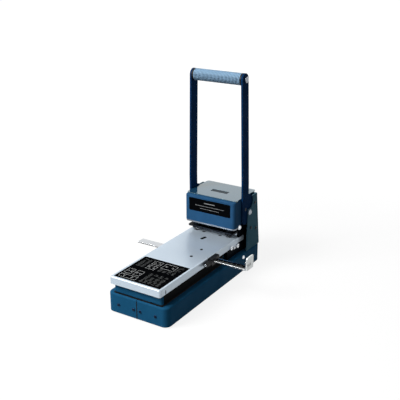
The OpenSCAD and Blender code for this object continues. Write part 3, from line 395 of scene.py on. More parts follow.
def ringed_plastic(name, tone, groove_shade_tone, first, pitch, shade_start_z, shade_full_z):
    """Moulded grip plastic: satin rings, with painted shade darkening the grooves, most of it towards the
    bottom.
    """
    material, tree, shader, place = new_material(name, {"Specular IOR Level": 0.14})
    axes = add(tree, "ShaderNodeSeparateXYZ", {0: place}).outputs
    past = add(tree, "ShaderNodeMath", {0: axes["X"], 1: first}, operation="SUBTRACT").outputs["Value"]
    off = add(tree, "ShaderNodeMath", {0: past, 1: pitch / 2}, operation="PINGPONG").outputs["Value"]
    # The grooves' painted shade is full up to an eighth of the pitch from a groove's middle, and ends three
    # eighths from it.
    groove_shade = add(tree, "ShaderNodeMapRange", {
        0: off, 1: 0.12 * pitch, 2: 0.38 * pitch, 3: 1.0, 4: 0.0}).outputs["Result"]
    grain = add(tree, "ShaderNodeTexNoise", {
        "Vector": place, "Scale": 1 / (0.9 * MM), "Detail": 2.0}).outputs["Fac"]
    # Painted shade: the grooves darken more towards the bottom of the grip, down to a share of 0.15 above
    # the upper height.
    side = add(tree, "ShaderNodeMapRange", {
        0: axes["Z"], 1: shade_start_z, 2: shade_full_z, 3: 0.15, 4: 1.0}).outputs["Result"]
    grain_share = add(tree, "ShaderNodeMapRange", {
        0: grain, 1: NOISE_LOW, 2: NOISE_HIGH, 3: 0.75, 4: 1.0}).outputs["Result"]
    lower_shade = add(tree, "ShaderNodeMath", {0: grain_share, 1: side}, operation="MULTIPLY").outputs["Value"]
    amount = add(tree, "ShaderNodeMath", {0: groove_shade, 1: lower_shade}, operation="MULTIPLY").outputs["Value"]
    skin = add(tree, "ShaderNodeMix", {
        0: amount, 6: colour(tone), 7: colour(groove_shade_tone)}, data_type="RGBA").outputs[2]
    gloss = add(tree, "ShaderNodeMapRange", {0: amount, 1: 0.0, 2: 1.0, 3: 0.36, 4: 0.6}).outputs["Result"]
    bump = add(tree, "ShaderNodeBump", {
        "Strength": 0.15, "Distance": 0.08 * MM, "Height": grain}).outputs["Normal"]
    dress(tree, shader, skin, gloss, bump)
    return material


grip_low, grip_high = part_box("hand_grip")
grip_mid = (grip_low + grip_high) / 2
grip_length = grip_high.x - grip_low.x
grip_r = (grip_high.z - grip_low.z) / 2

# Each enamel's fourth colour paints its edges paler, part worn paint and part painted highlight.
base_paint = stove_enamel("stove_enamel_base_blue", "205a7f", "1a5276", "40708f", 0.01)
cover_paint = stove_enamel("stove_enamel_cover_blue", "2e5a82", "274f74", "7496b6", 0.015)
arm_paint = stove_enamel("stove_enamel_arm_blue", "0b3460", "092c52", "5f82a2", 0.006)
# The cheeks' near-black enamel is painted shade, for the deep shade behind the throat and under the table.
frame_shade_paint = stove_enamel("stove_enamel_frame_black_shade", "0b1017", "080c12", "2c3640", 0.01)
plate_paint = stove_enamel("stove_enamel_plate_grey_blue", "4a788c", "406b7f", "8aa2b1", 0.012)
# The lid mirrors the white studio, so it looks pale at a low angle and blue from above.
lid_paint = stove_enamel(
    "gloss_enamel_lid_blue", "1f4a68", "1b435f", "6d8ea8", 1.0, (0.06, 0.12), 0.15 * MM,
    {"Specular Tint": (0.5, 1.0, 1.0, 1.0), "Coat Weight": 0.9, "Coat Roughness": 0.06})
table_lacquer = silver_lacquer("silver_lacquer_table", "d2e0ec", "c7d6e4", 0.4, (0.3, 0.34))
white_lacquer = silver_lacquer("white_lacquer_stop", "f4f7f7", "e8eeee", 0.4, (0.3, 0.4))
chrome = worked_steel("chrome_plate", "d9dcdf", "c9cdd2", (0.08, 0.16), (60, 4))
ground_steel = worked_steel("ground_tool_steel", "c6cace", "a9afb6", (0.22, 0.36), (30, 0.6))
plain_steel = worked_steel("rolled_steel", "8d939a", "757c84", (0.36, 0.5), (12, 1.5))
dark_steel = worked_steel("black_oxide_steel", "23262c", "16181d", (0.35, 0.5), (3, 1.5))
blued_steel = worked_steel("blued_steel", "1a2b44", "121e30", (0.3, 0.45), (3, 1.5))
burnished_steel = worked_steel("burnished_steel", "989ea6", "7c828a", (0.14, 0.26), (4, 1.0))
black_plastic = moulded("moulded_black_plastic", "0b0c0f", "34373c", 0.45, 0.8, 0.2)
black_rubber = moulded("moulded_black_rubber", "0c0c0e", "242527", 0.7, 1.2, 0.15)
white_plastic = moulded("moulded_white_plastic", "f2f7f7", "fafdfd", 0.28, 0.9, 1.0)
panel_film = moulded("satin_black_film", "08090b", "1c1d20", 0.5, 1.5, 0.0)
side_film = moulded("matt_black_film", "050607", "121316", 0.7, 1.5, 0.03)
mark_film = moulded("satin_grey_film", "2a363d", "465660", 0.45, 1.2, 0.06)
silver_ink = moulded("silver_grey_ink", "868989", "9a9d9d", 0.55, 0.8, 0.1)
# White film that paints the highlight along the gauge bar's front edge.
highlight_white = moulded("highlight_white", "e6eaea", "f0f3f3", 0.5, 0.8, 0.15)
outline_ink = moulded("pale_grey_ink", "d8dbdb", "e2e5e5", 0.55, 0.8, 0.05)
faint_ink = moulded("faint_grey_ink", "6a6d6d", "7c7f7f", 0.55, 0.8, 0.05)
# The grip's dark second colour is painted shade in its grooves, strongest on the lower half.
grip_plastic = ringed_plastic(
    "moulded_grey_blue_plastic", "96bad8", "142c47", grip_low.x, grip_length / GRIP_RINGS,
    grip_mid.z + GRIP_SHADE_START * grip_r, grip_mid.z + GRIP_SHADE_FULL * grip_r)

CAD_FINISHES = (
    (base_paint, ("base_shell", "table_riser", "chip_drawer")),
    (cover_paint, ("head_cover",)),
    (arm_paint, ("arm_left", "arm_right")),
    (frame_shade_paint, ("cheek_left", "cheek_right")),
    (plate_paint, ("side_plate_left", "side_plate_right", "rear_panel")),
    (table_lacquer, ("paper_table",)),
    (lid_paint, ("head_lid",)),
    (chrome, ("side_bolts", "table_screws", "gauge_bar", "die_bushes")),
    (burnished_steel, ("pivot_caps", "grip_nuts")),
    (ground_steel, ("die_beam", "die_block", "punch_bushes", "punch_pins", "guide_posts", "back_stop")),
    (plain_steel, ("base_floor", "drawer_rails", "frame_bolts", "die_screws", "guide_plate", "punch_bar",
                   "pin_plate", "pivot_shaft", "grip_rod", "return_springs")),
    (dark_steel, ("tie_bolts", "stripper_plate", "strip_spacers", "pivot_spacers", "tie_spacers",
                  "drive_rod")),
    (blued_steel, ("front_screws",)),
    (black_plastic, ("grip_collars", "gauge_guide", "gauge_knob")),
    (black_rubber, ("rubber_mat", "rubber_pads")),
    (grip_plastic, ("hand_grip",)),
    (white_lacquer, ("gauge_stop",)),
    (white_plastic, ("gauge_rivets",)),
)
for material, names in CAD_FINISHES:
    for name in names:
        nodes[name].data.materials.clear()
        nodes[name].data.materials.append(material)


# Mesh helpers

def rounded(width, length, radius, steps=6):
    """Outline of a rectangle with round corners, counter-clockwise round the origin."""
    points = []
    for k, (sx, sy) in enumerate(((1, 1), (-1, 1), (-1, -1), (1, -1))):
        for i in range(steps + 1):
            a = math.pi / 2 * (k + i / steps)
            points.append((sx * (width / 2 - radius) + radius * math.cos(a),
                           sy * (length / 2 - radius) + radius * math.sin(a)))
    return points


def on_side(side, x, y, z):
    """Place on a side wall, for a slab that faces out of it."""
    return Matrix.Translation((side * x, y, z)) @ Matrix.Rotation(side * math.pi / 2, 4, "Z") @ TO_FRONT


def slab(name, size, radius, thickness, place, material):
    """Mesh of a flat plate with round corners and a fine bevel round its face, moved to its place."""
    shape = bmesh.new()
    face = shape.faces.new([shape.verts.new((x, y, 0)) for x, y in rounded(*size, radius)])
    grown = bmesh.ops.extrude_face_region(shape, geom=[face])["geom"]
    top = [v for v in grown if isinstance(v, bmesh.types.BMVert)]
    bmesh.ops.translate(shape, verts=top, vec=(0, 0, thickness))
    rim = [e for e in shape.edges if all(v.co.z > thickness / 2 for v in e.verts)]
    bmesh.ops.bevel(shape, geom=rim, offset=thickness * SLAB_BEVEL, segments=2, affect="EDGES")
    bmesh.ops.recalc_face_normals(shape, faces=shape.faces)
    mesh = bpy.data.meshes.new(name)
    shape.to_mesh(mesh)
    shape.free()
    mesh.transform(place)
    mesh.materials.append(material)
    return mesh


def joined(name, meshes, material):
    """One mesh out of several, in one material."""
    shape = bmesh.new()
    for mesh in meshes:
        shape.from_mesh(mesh)
    for face in shape.faces:
        face.material_index = 0
    whole = bpy.data.meshes.new(name)
    shape.to_mesh(whole)
    shape.free()
    whole.materials.append(material)
    return whole


def piece(mesh, body, slot, *replaced):
    """Puts a finished mesh into the scene as a piece of its name that rides on a body."""
    obj = bpy.data.objects.new(mesh.name, mesh)
    in_scene.link(obj)
    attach(obj, body)
    if replaced:
        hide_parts(*replaced)
    return obj


# Growing trees, for what repeats

def grower(name, sizes):
    """New node tree with a named input for each size, and the outputs of its input node."""
    tree = bpy.data.node_groups.new(name, "GeometryNodeTree")
    for label, kind in sizes.items():
        tree.interface.new_socket(label, in_out="INPUT", socket_type="NodeSocket" + kind)
    tree.interface.new_socket("Geometry", in_out="OUTPUT", socket_type="NodeSocketGeometry")
    return tree, add(tree, "NodeGroupInput").outputs


def close_tree(tree, geometry, material):
    """Ends a tree in plain, painted geometry."""
    plain = add(tree, "GeometryNodeRealizeInstances", {"Geometry": geometry}).outputs[0]
    painted = add(tree, "GeometryNodeSetMaterial", {"Geometry": plain, "Material": material}).outputs[0]
    add(tree, "NodeGroupOutput", {"Geometry": painted})


def grow(name, tree, sizes, places=(), facing=None):
    """Plain mesh that a tree grows with these sizes, on points at places that face a way."""
    seed = bpy.data.meshes.new(name + "_places")
    seed.from_pydata([tuple(p) for p in places], [], [])
    if facing:
        way = seed.attributes.new("facing", "FLOAT_VECTOR", "POINT")
        for item, direction in zip(way.data, facing):
            item.vector = direction
    obj = bpy.data.objects.new(name + "_grower", seed)
    in_scene.link(obj)
    modifier = obj.modifiers.new("grow", "NODES")
    modifier.node_group = tree
    for socket in tree.interface.items_tree:
        if socket.in_out == "INPUT" and socket.name in sizes:
            modifier[socket.identifier] = sizes[socket.name]
    view = bpy.context.evaluated_depsgraph_get()
    mesh = bpy.data.meshes.new_from_object(obj.evaluated_get(view))
    bpy.data.objects.remove(obj)
    mesh.name = name
    return mesh


def ringed_grip_tree():
    """Round bar along X whose radius dips at each groove between its rings."""
    tree, given = grower("ringed_grip", {
        "Length": "Float", "Radius": "Float", "Groove": "Float", "Rings": "Int", "Material": "Material"})
    half = add(tree, "ShaderNodeMath", {0: given["Length"], 1: 0.5}, operation="MULTIPLY").outputs[0]
    back = add(tree, "ShaderNodeMath", {0: half, 1: -1.0}, operation="MULTIPLY").outputs[0]
    start = add(tree, "ShaderNodeCombineXYZ", {"X": back}).outputs[0]
    end = add(tree, "ShaderNodeCombineXYZ", {"X": half}).outputs[0]
    line = add(tree, "GeometryNodeCurvePrimitiveLine", {"Start": start, "End": end}).outputs[0]
    steps = add(tree, "ShaderNodeMath", {
        0: given["Rings"], 1: float(RING_STEPS), 2: 1.0}, operation="MULTIPLY_ADD").outputs[0]
    cut = add(tree, "GeometryNodeResampleCurve", {"Curve": line, "Count": steps}).outputs[0]
    index = add(tree, "GeometryNodeInputIndex").outputs[0]
    turn = add(tree, "ShaderNodeMath", {
        0: index, 1: 2 * math.pi / RING_STEPS}, operation="MULTIPLY").outputs[0]
    wave = add(tree, "ShaderNodeMath", {0: turn}, operation="COSINE").outputs[0]
    lifted = add(tree, "ShaderNodeMath", {0: wave, 1: 0.5, 2: 0.5}, operation="MULTIPLY_ADD").outputs[0]
    narrow = add(tree, "ShaderNodeMath", {0: lifted, 1: GROOVE_POWER}, operation="POWER").outputs[0]
    depth = add(tree, "ShaderNodeMath", {0: narrow, 1: given["Groove"]}, operation="MULTIPLY").outputs[0]
    radius = add(tree, "ShaderNodeMath", {0: given["Radius"], 1: depth}, operation="SUBTRACT").outputs[0]
    circle = add(tree, "GeometryNodeCurvePrimitiveCircle", {"Resolution": 64, "Radius": 1.0}).outputs[0]
    bar = add(tree, "GeometryNodeCurveToMesh", {
        "Curve": cut, "Profile Curve": circle, "Scale": radius, "Fill Caps": True}).outputs[0]
    close_tree(tree, bar, given["Material"])
    return tree


def fastener_tree():
    """Fasteners with a domed head, a crossed or six-sided recess and a shank, one on each place."""
    tree, given = grower("fasteners", {
        "Places": "Geometry", "Radius": "Float", "Height": "Float", "Ball": "Float", "Recess": "Float",
        "Blade": "Float", "Depth": "Float", "Socket": "Bool", "Shank radius": "Float", "Shank": "Float",
        "Material": "Material"})
    rim = add(tree, "GeometryNodeMeshCylinder", {
        "Vertices": 40, "Radius": given["Radius"], "Depth": given["Height"]}).outputs["Mesh"]
    middle = add(tree, "ShaderNodeMath", {0: given["Height"], 1: 0.5}, operation="MULTIPLY").outputs[0]
    lift = add(tree, "ShaderNodeCombineXYZ", {"Z": middle}).outputs[0]
    post = add(tree, "GeometryNodeTransform", {"Geometry": rim, "Translation": lift}).outputs[0]
    ball = add(tree, "GeometryNodeMeshUVSphere", {
        "Segments": 64, "Rings": 48, "Radius": given["Ball"]}).outputs["Mesh"]
    sunk = add(tree, "ShaderNodeMath", {
        0: given["Height"], 1: given["Ball"]}, operation="SUBTRACT").outputs[0]
    drop = add(tree, "ShaderNodeCombineXYZ", {"Z": sunk}).outputs[0]
    cap = add(tree, "GeometryNodeTransform", {"Geometry": ball, "Translation": drop}).outputs[0]
    dome = add(tree, "GeometryNodeMeshBoolean", {
        "Mesh 2": [post, cap]}, operation="INTERSECT").outputs["Mesh"]
    deep = add(tree, "ShaderNodeMath", {0: given["Depth"], 1: 2.0}, operation="MULTIPLY").outputs[0]
    one = add(tree, "ShaderNodeCombineXYZ", {
        "X": given["Recess"], "Y": given["Blade"], "Z": deep}).outputs[0]
    other = add(tree, "ShaderNodeCombineXYZ", {
        "X": given["Blade"], "Y": given["Recess"], "Z": deep}).outputs[0]
    first_cut = add(tree, "GeometryNodeMeshCube", {"Size": one}).outputs["Mesh"]
    second_cut = add(tree, "GeometryNodeMeshCube", {"Size": other}).outputs["Mesh"]
    crossed = add(tree, "GeometryNodeMeshBoolean", {
        "Mesh 2": [first_cut, second_cut]}, operation="UNION").outputs["Mesh"]
    across = add(tree, "ShaderNodeMath", {0: given["Recess"], 1: 0.5}, operation="MULTIPLY").outputs[0]
    six = add(tree, "GeometryNodeMeshCylinder", {
        "Vertices": 6, "Radius": across, "Depth": deep}).outputs["Mesh"]
    recess = add(tree, "GeometryNodeSwitch", {
        "Switch": given["Socket"], "False": crossed, "True": six}, input_type="GEOMETRY").outputs[0]
    up = add(tree, "ShaderNodeCombineXYZ", {"Z": given["Height"]}).outputs[0]
    raised = add(tree, "GeometryNodeTransform", {"Geometry": recess, "Translation": up}).outputs[0]
    head = add(tree, "GeometryNodeMeshBoolean", {
        "Mesh 1": dome, "Mesh 2": [raised]}, operation="DIFFERENCE").outputs["Mesh"]
    stem = add(tree, "GeometryNodeMeshCylinder", {
        "Vertices": 24, "Radius": given["Shank radius"], "Depth": given["Shank"]}).outputs["Mesh"]
    half = add(tree, "ShaderNodeMath", {0: given["Shank"], 1: -0.5}, operation="MULTIPLY").outputs[0]
    down = add(tree, "ShaderNodeCombineXYZ", {"Z": half}).outputs[0]
    shank = add(tree, "GeometryNodeTransform", {"Geometry": stem, "Translation": down}).outputs[0]
    whole = add(tree, "GeometryNodeJoinGeometry", {"Geometry": [head, shank]}).outputs[0]
    way = add(tree, "GeometryNodeInputNamedAttribute", {
        "Name": "facing"}, data_type="FLOAT_VECTOR").outputs[0]
    turn = add(tree, "FunctionNodeAlignRotationToVector", {"Vector": way}, axis="Z").outputs[0]
    stood = add(tree, "GeometryNodeInstanceOnPoints", {
        "Points": given["Places"], "Instance": whole, "Rotation": turn}).outputs[0]
    close_tree(tree, stood, given["Material"])
    return tree


def coil_tree():
    """Coil springs standing on each place."""
    tree, given = grower("coil_springs", {
        "Places": "Geometry", "Wire radius": "Float", "Coil radius": "Float", "Turns": "Float",
        "Height": "Float", "Material": "Material"})
    path = add(tree, "GeometryNodeCurveSpiral", {
        "Resolution": 28, "Rotations": given["Turns"], "Start Radius": given["Coil radius"],
        "End Radius": given["Coil radius"], "Height": given["Height"]}).outputs[0]
    ring = add(tree, "GeometryNodeCurvePrimitiveCircle", {
        "Resolution": 10, "Radius": given["Wire radius"]}).outputs[0]
    wire = add(tree, "GeometryNodeCurveToMesh", {
        "Curve": path, "Profile Curve": ring, "Fill Caps": True}).outputs[0]
    stood = add(tree, "GeometryNodeInstanceOnPoints", {
        "Points": given["Places"], "Instance": wire}).outputs[0]
    close_tree(tree, stood, given["Material"])
    return tree


def scale_tree():
    """Row of scale marks along X, every fourth one long."""
    tree, given = grower("scale_marks", {
        "Count": "Int", "Pitch": "Float", "Width": "Float", "Short": "Float", "Long": "Float",
        "Height": "Float", "Material": "Material"})
    step = add(tree, "ShaderNodeCombineXYZ", {"X": given["Pitch"]}).outputs[0]
    row = add(tree, "GeometryNodeMeshLine", {"Count": given["Count"], "Offset": step}).outputs[0]
    index = add(tree, "GeometryNodeInputIndex").outputs[0]
    odd = add(tree, "ShaderNodeMath", {0: index, 1: LONG_TICK}, operation="MODULO").outputs[0]
    short = add(tree, "ShaderNodeMath", {0: odd, 1: 0.5}, operation="GREATER_THAN").outputs[0]
    length = add(tree, "ShaderNodeMix", {0: short, 2: given["Long"], 3: given["Short"]}).outputs[0]
    size = add(tree, "ShaderNodeCombineXYZ", {
        "X": given["Width"], "Y": length, "Z": given["Height"]}).outputs[0]
    # The cube stands on its lower front edge, so that every mark starts at the bar's edge.
    cube = add(tree, "GeometryNodeMeshCube", {"Size": (1.0, 1.0, 1.0)}).outputs["Mesh"]
    stood = add(tree, "GeometryNodeTransform", {
        "Geometry": cube, "Translation": (0.0, 0.5, 0.5)}).outputs[0]
    marks = add(tree, "GeometryNodeInstanceOnPoints", {
        "Points": row, "Instance": stood, "Scale": size}).outputs[0]
    close_tree(tree, marks, given["Material"])
    return tree


def printed_rows_tree():
    """Rows of plain printed bars of uneven length, some left out."""
    tree, given = grower("printed_rows", {
        "Width": "Float", "Height": "Float", "Rows": "Int", "Columns": "Int", "Bar": "Float",
        "Thickness": "Float", "Least": "Float", "Most": "Float", "Gaps": "Float", "Seed": "Int",
        "Material": "Material"})
    cell = add(tree, "ShaderNodeMath", {
        0: given["Width"], 1: given["Columns"]}, operation="DIVIDE").outputs[0]
    across = add(tree, "ShaderNodeMath", {0: given["Width"], 1: cell}, operation="SUBTRACT").outputs[0]
    grid = add(tree, "GeometryNodeMeshGrid", {
        "Size X": across, "Size Y": given["Height"], "Vertices X": given["Columns"],
        "Vertices Y": given["Rows"]}).outputs["Mesh"]
    gap = add(tree, "FunctionNodeRandomValue", {
        "Probability": given["Gaps"], "Seed": given["Seed"]}, data_type="BOOLEAN").outputs[3]
    kept = add(tree, "GeometryNodeDeleteGeometry", {"Geometry": grid, "Selection": gap}).outputs[0]
    share = add(tree, "FunctionNodeRandomValue", {
        2: given["Least"], 3: given["Most"], "Seed": given["Seed"]}, data_type="FLOAT").outputs[1]
    long = add(tree, "ShaderNodeMath", {0: cell, 1: share}, operation="MULTIPLY").outputs[0]
    size = add(tree, "ShaderNodeCombineXYZ", {
        "X": long, "Y": given["Bar"], "Z": given["Thickness"]}).outputs[0]
    # The cube stands on the middle of its lower face.
    cube = add(tree, "GeometryNodeMeshCube", {"Size": (1.0, 1.0, 1.0)}).outputs["Mesh"]
    stood = add(tree, "GeometryNodeTransform", {
        "Geometry": cube, "Translation": (0.0, 0.0, 0.5)}).outputs[0]
    bars = add(tree, "GeometryNodeInstanceOnPoints", {
        "Points": kept, "Instance": stood, "Scale": size}).outputs[0]
    close_tree(tree, bars, given["Material"])
    return tree


def printed_sheets_tree():
    """Printed outlines of sheets with two punched holes, one on each place."""
    tree, given = grower("printed_sheets", {
        "Places": "Geometry", "Width": "Float", "Height": "Float", "Line": "Float", "Hole": "Float",
        "Spread": "Float", "Thickness": "Float", "Material": "Material"})
    inner_w = add(tree, "ShaderNodeMath", {
        0: given["Line"], 1: -2.0, 2: given["Width"]}, operation="MULTIPLY_ADD").outputs[0]
    inner_h = add(tree, "ShaderNodeMath", {
        0: given["Line"], 1: -2.0, 2: given["Height"]}, operation="MULTIPLY_ADD").outputs[0]
    edge = add(tree, "GeometryNodeCurvePrimitiveQuadrilateral", {
        "Width": given["Width"], "Height": given["Height"]}).outputs[0]
    inside = add(tree, "GeometryNodeCurvePrimitiveQuadrilateral", {
        "Width": inner_w, "Height": inner_h}).outputs[0]
    bore_r = add(tree, "ShaderNodeMath", {
        0: given["Hole"], 1: given["Line"]}, operation="SUBTRACT").outputs[0]
    hole = add(tree, "GeometryNodeCurvePrimitiveCircle", {
        "Resolution": 16, "Radius": given["Hole"]}).outputs[0]
    bore = add(tree, "GeometryNodeCurvePrimitiveCircle", {"Resolution": 16, "Radius": bore_r}).outputs[0]
    ring = add(tree, "GeometryNodeJoinGeometry", {"Geometry": [hole, bore]}).outputs[0]
    right = add(tree, "ShaderNodeCombineXYZ", {"X": given["Spread"]}).outputs[0]
    back = add(tree, "ShaderNodeMath", {0: given["Spread"], 1: -1.0}, operation="MULTIPLY").outputs[0]
    left = add(tree, "ShaderNodeCombineXYZ", {"X": back}).outputs[0]
    one = add(tree, "GeometryNodeTransform", {"Geometry": ring, "Translation": right}).outputs[0]
    other = add(tree, "GeometryNodeTransform", {"Geometry": ring, "Translation": left}).outputs[0]
    lines = add(tree, "GeometryNodeJoinGeometry", {"Geometry": [edge, inside, one, other]}).outputs[0]
    flat = add(tree, "GeometryNodeFillCurve", {"Curve": lines}).outputs[0]
    up = add(tree, "ShaderNodeCombineXYZ", {"Z": given["Thickness"]}).outputs[0]
    raised = add(tree, "GeometryNodeExtrudeMesh", {
        "Mesh": flat, "Offset": up, "Individual": False}).outputs["Mesh"]
    under = add(tree, "GeometryNodeFlipFaces", {"Mesh": flat}).outputs[0]
    loose = add(tree, "GeometryNodeJoinGeometry", {"Geometry": [raised, under]}).outputs[0]
    closed = add(tree, "GeometryNodeMergeByDistance", {"Geometry": loose, "Distance": MERGE}).outputs[0]
    sheets = add(tree, "GeometryNodeInstanceOnPoints", {
        "Points": given["Places"], "Instance": closed}).outputs[0]
    close_tree(tree, sheets, given["Material"])
    return tree


# Lever's grip
grip_mesh = grow("ringed_grip", ringed_grip_tree(), {
    "Length": grip_length, "Radius": grip_r, "Groove": RING_DEPTH, "Rings": GRIP_RINGS,
    "Material": grip_plastic})
grip_mesh.transform(Matrix.Translation(grip_mid))
grip_mesh.shade_smooth()
piece(grip_mesh, "lever", "grip_grey_plastic", "hand_grip")

# Return springs
spring_low, spring_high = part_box("return_springs")
coil_r = (spring_high.y - spring_low.y) / 2 - WIRE / 2
spring_y = (spring_low.y + spring_high.y) / 2
spring_x = spring_high.x - coil_r - WIRE / 2
spring_mesh = grow("return_coils", coil_tree(), {
    "Wire radius": WIRE / 2, "Coil radius": coil_r, "Turns": float(SPRING_TURNS),
    "Height": spring_high.z - spring_low.z - WIRE, "Material": plain_steel},
    places=[(s * spring_x, spring_y, spring_low.z + WIRE / 2) for s in SIDES])
spring_mesh.shade_smooth()
springs = piece(spring_mesh, "base", "bare_steel", "return_springs")
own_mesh(springs)

# Screws in the base's front, with a crossed recess
fasteners = fastener_tree()
base_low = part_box("base_shell")[0]
front_places = [(s * x, base_low.y, FRONT_SCREW_Z) for x in FRONT_SCREWS_X for s in SIDES]
front_mesh = grow("crossed_screws", fasteners, {**FRONT_SCREW, "Material": blued_steel},
                  front_places, [FORWARD] * len(front_places))
piece(front_mesh, "base", "dark_steel", "front_screws")

# Dark bead in the seam of the base's front: painted shade for the dark inside of the seam
seam_shade_place = Matrix.Translation((0, base_low.y, (SEAM_SHADE_LOW + SEAM_SHADE_HIGH) / 2)) @ TO_FRONT
seam_shade_mesh = slab("seam_shade", (SEAM_SHADE_W, SEAM_SHADE_HIGH - SEAM_SHADE_LOW), SEAM_SHADE_R, SEAM_SHADE_T, seam_shade_place, black_rubber)
piece(seam_shade_mesh, "base", "black_rubber")

# Bolts of the side plates, with a six-sided socket
plate_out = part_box("side_plate_right")[1].x
tie_mesh = grow("socket_bolts", fasteners, {**TIE_BOLT, "Material": dark_steel},
                [(s * plate_out, y, z) for y, z in TIES for s in SIDES],
                [(s, 0, 0) for _ in TIES for s in SIDES])
piece(tie_mesh, "base", "dark_steel", "tie_bolts")

# Screw in the front end of the gauge's knob
knob_low, knob_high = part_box("gauge_knob")
knob_mid = (knob_low + knob_high) / 2
knob_mesh = grow("knob_screw", fasteners, {**KNOB_SCREW, "Material": chrome},
                 [(knob_mid.x, knob_low.y, knob_mid.z)], [FORWARD])
piece(knob_mesh, "knob", "chrome")

# Gauge's black strip and its scale marks, and a white line that paints the highlight along its front edge
bar_low, bar_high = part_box("gauge_bar")
stop_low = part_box("gauge_stop")[0]
bar_top = stop_low.z + BAR_T
strip_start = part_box("gauge_guide")[1].x + STRIP_GAP
strip_end = stop_low.x - STRIP_GAP
strip_x = (strip_start + strip_end) / 2
strip_y = (bar_low.y + bar_high.y) / 2
strip_long = strip_end - strip_start
strip_wide = bar_high.y - bar_low.y - 2 * STRIP_IN
strip_place = Matrix.Translation((strip_x, strip_y, bar_top))
strip_mesh = slab("scale_strip", (strip_long, strip_wide), STRIP_R, STRIP_T, strip_place, panel_film)
piece(strip_mesh, "gauge", "black_plastic")
tick_count = int((strip_long - 2 * TICK_INSET) / TICK_PITCH)
scale_mesh = grow("gauge_scale", scale_tree(), {**TICKS, "Count": tick_count, "Material": silver_ink})
scale_mesh.transform(Matrix.Translation((
    strip_start + TICK_INSET, strip_y - strip_wide / 2 + STRIP_GAP, bar_top + STRIP_T - INK_SUNK)))
piece(scale_mesh, "gauge", "white_plastic")
highlight_place = Matrix.Translation((strip_x, bar_low.y + HIGHLIGHT_W / 2 + HIGHLIGHT_GAP, bar_top))
highlight_mesh = slab("scale_edge_highlight", (strip_long, HIGHLIGHT_W), LINE_R, INK_T, highlight_place, highlight_white)
piece(highlight_mesh, "gauge", "white_plastic")

# Black line along the front face of the bar's far end
riser_low, riser_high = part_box("table_riser")
line_end = riser_low.x - BAR_LINE_GAP
line_mid = ((bar_low.x + line_end) / 2, bar_low.y, stop_low.z + BAR_LINE_H / 2)
line_place = Matrix.Translation(line_mid) @ TO_FRONT
line_mesh = slab("bar_line", (line_end - bar_low.x, BAR_LINE_H), LINE_R, INK_T, line_place, side_film)
piece(line_mesh, "gauge", "black_plastic")

# Black panels on the sides of the riser: painted shade, standing in for the table's shade there
side_size = (riser_high.y - riser_low.y - 2 * SHADE_PANEL_END, SHADE_PANEL_TOP - riser_low.z - SHADE_PANEL_GAP)
side_mid_y = (riser_low.y + riser_high.y) / 2
side_mid_z = riser_low.z + SHADE_PANEL_GAP + side_size[1] / 2
shade_panel_meshes = []
for s in SIDES:
    place = on_side(s, riser_high.x, side_mid_y, side_mid_z)
    shade_panel_meshes.append(slab("side", side_size, SHADE_PANEL_R, SHADE_PANEL_T, place, side_film))
piece(joined("riser_painted_shade", shade_panel_meshes, side_film), "base", "black_rubber")

# Dark strip under the riser: painted contact shadow where the riser stands on the base
contact_shade_size = (2 * (riser_high.x + CONTACT_SHADE_OUT), riser_high.y - riser_low.y + CONTACT_SHADE_OUT)
contact_shade_place = Matrix.Translation((0, (riser_low.y - CONTACT_SHADE_OUT + riser_high.y) / 2, riser_low.z))
contact_shade_mesh = slab("riser_contact_shadow", contact_shade_size, CONTACT_SHADE_R, CONTACT_SHADE_H, contact_shade_place, black_rubber)
piece(contact_shade_mesh, "base", "black_rubber")

# Table's panel of black film
table_low, table_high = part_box("paper_table")
panel_mid = Vector((TABLE_PANEL_X, table_low.y + TABLE_PANEL_FRONT + TABLE_PANEL[1] / 2, table_high.z))
panel_mesh = slab("table_panel", TABLE_PANEL, PANEL_R, PANEL_T, Matrix.Translation(panel_mid), panel_film)
piece(panel_mesh, "base", "black_plastic")

# Black plugs in the table's holes, each a foot with a head, and a black slip over the slot: painted shade
# for the dark inside of the holes and the slot
hole_shade_meshes = []
for x, y in SIGHT_HOLES:
    foot = (PLUG_D, TABLE_T, table_high.z - TABLE_T)
    head = (PLUG_HEAD_D, PLUG_HEAD_T, table_high.z)
    for wide, thick, z in (foot, head):
        place = Matrix.Translation((x, base_low.y + y, z))
        hole_shade_meshes.append(slab("plug", (wide, wide), wide / 2, thick, place, side_film))
slant_x, slant_y = SLANT_PLACE
slant_mid = Matrix.Translation((slant_x, base_low.y + slant_y, table_high.z))
slant_place = slant_mid @ Matrix.Rotation(SLANT_TILT, 4, "Z")
hole_shade_meshes.append(slab("plug", SLANT, SLANT[0] / 2, SLANT_T, slant_place, side_film))
piece(joined("table_hole_shade", hole_shade_meshes, side_film), "base", "black_rubber")

# Dark slots in the table's flanges
slot_meshes = []
for s in SIDES:
    place = on_side(s, table_high.x, base_low.y + SLOT_BEHIND, SLOT_LOW + SLOT_SIZE[1] / 2)
    slot_meshes.append(slab("slot", SLOT_SIZE, SLOT_R, SLOT_T, place, side_film))
piece(joined("flange_slots", slot_meshes, side_film), "base", "black_rubber")

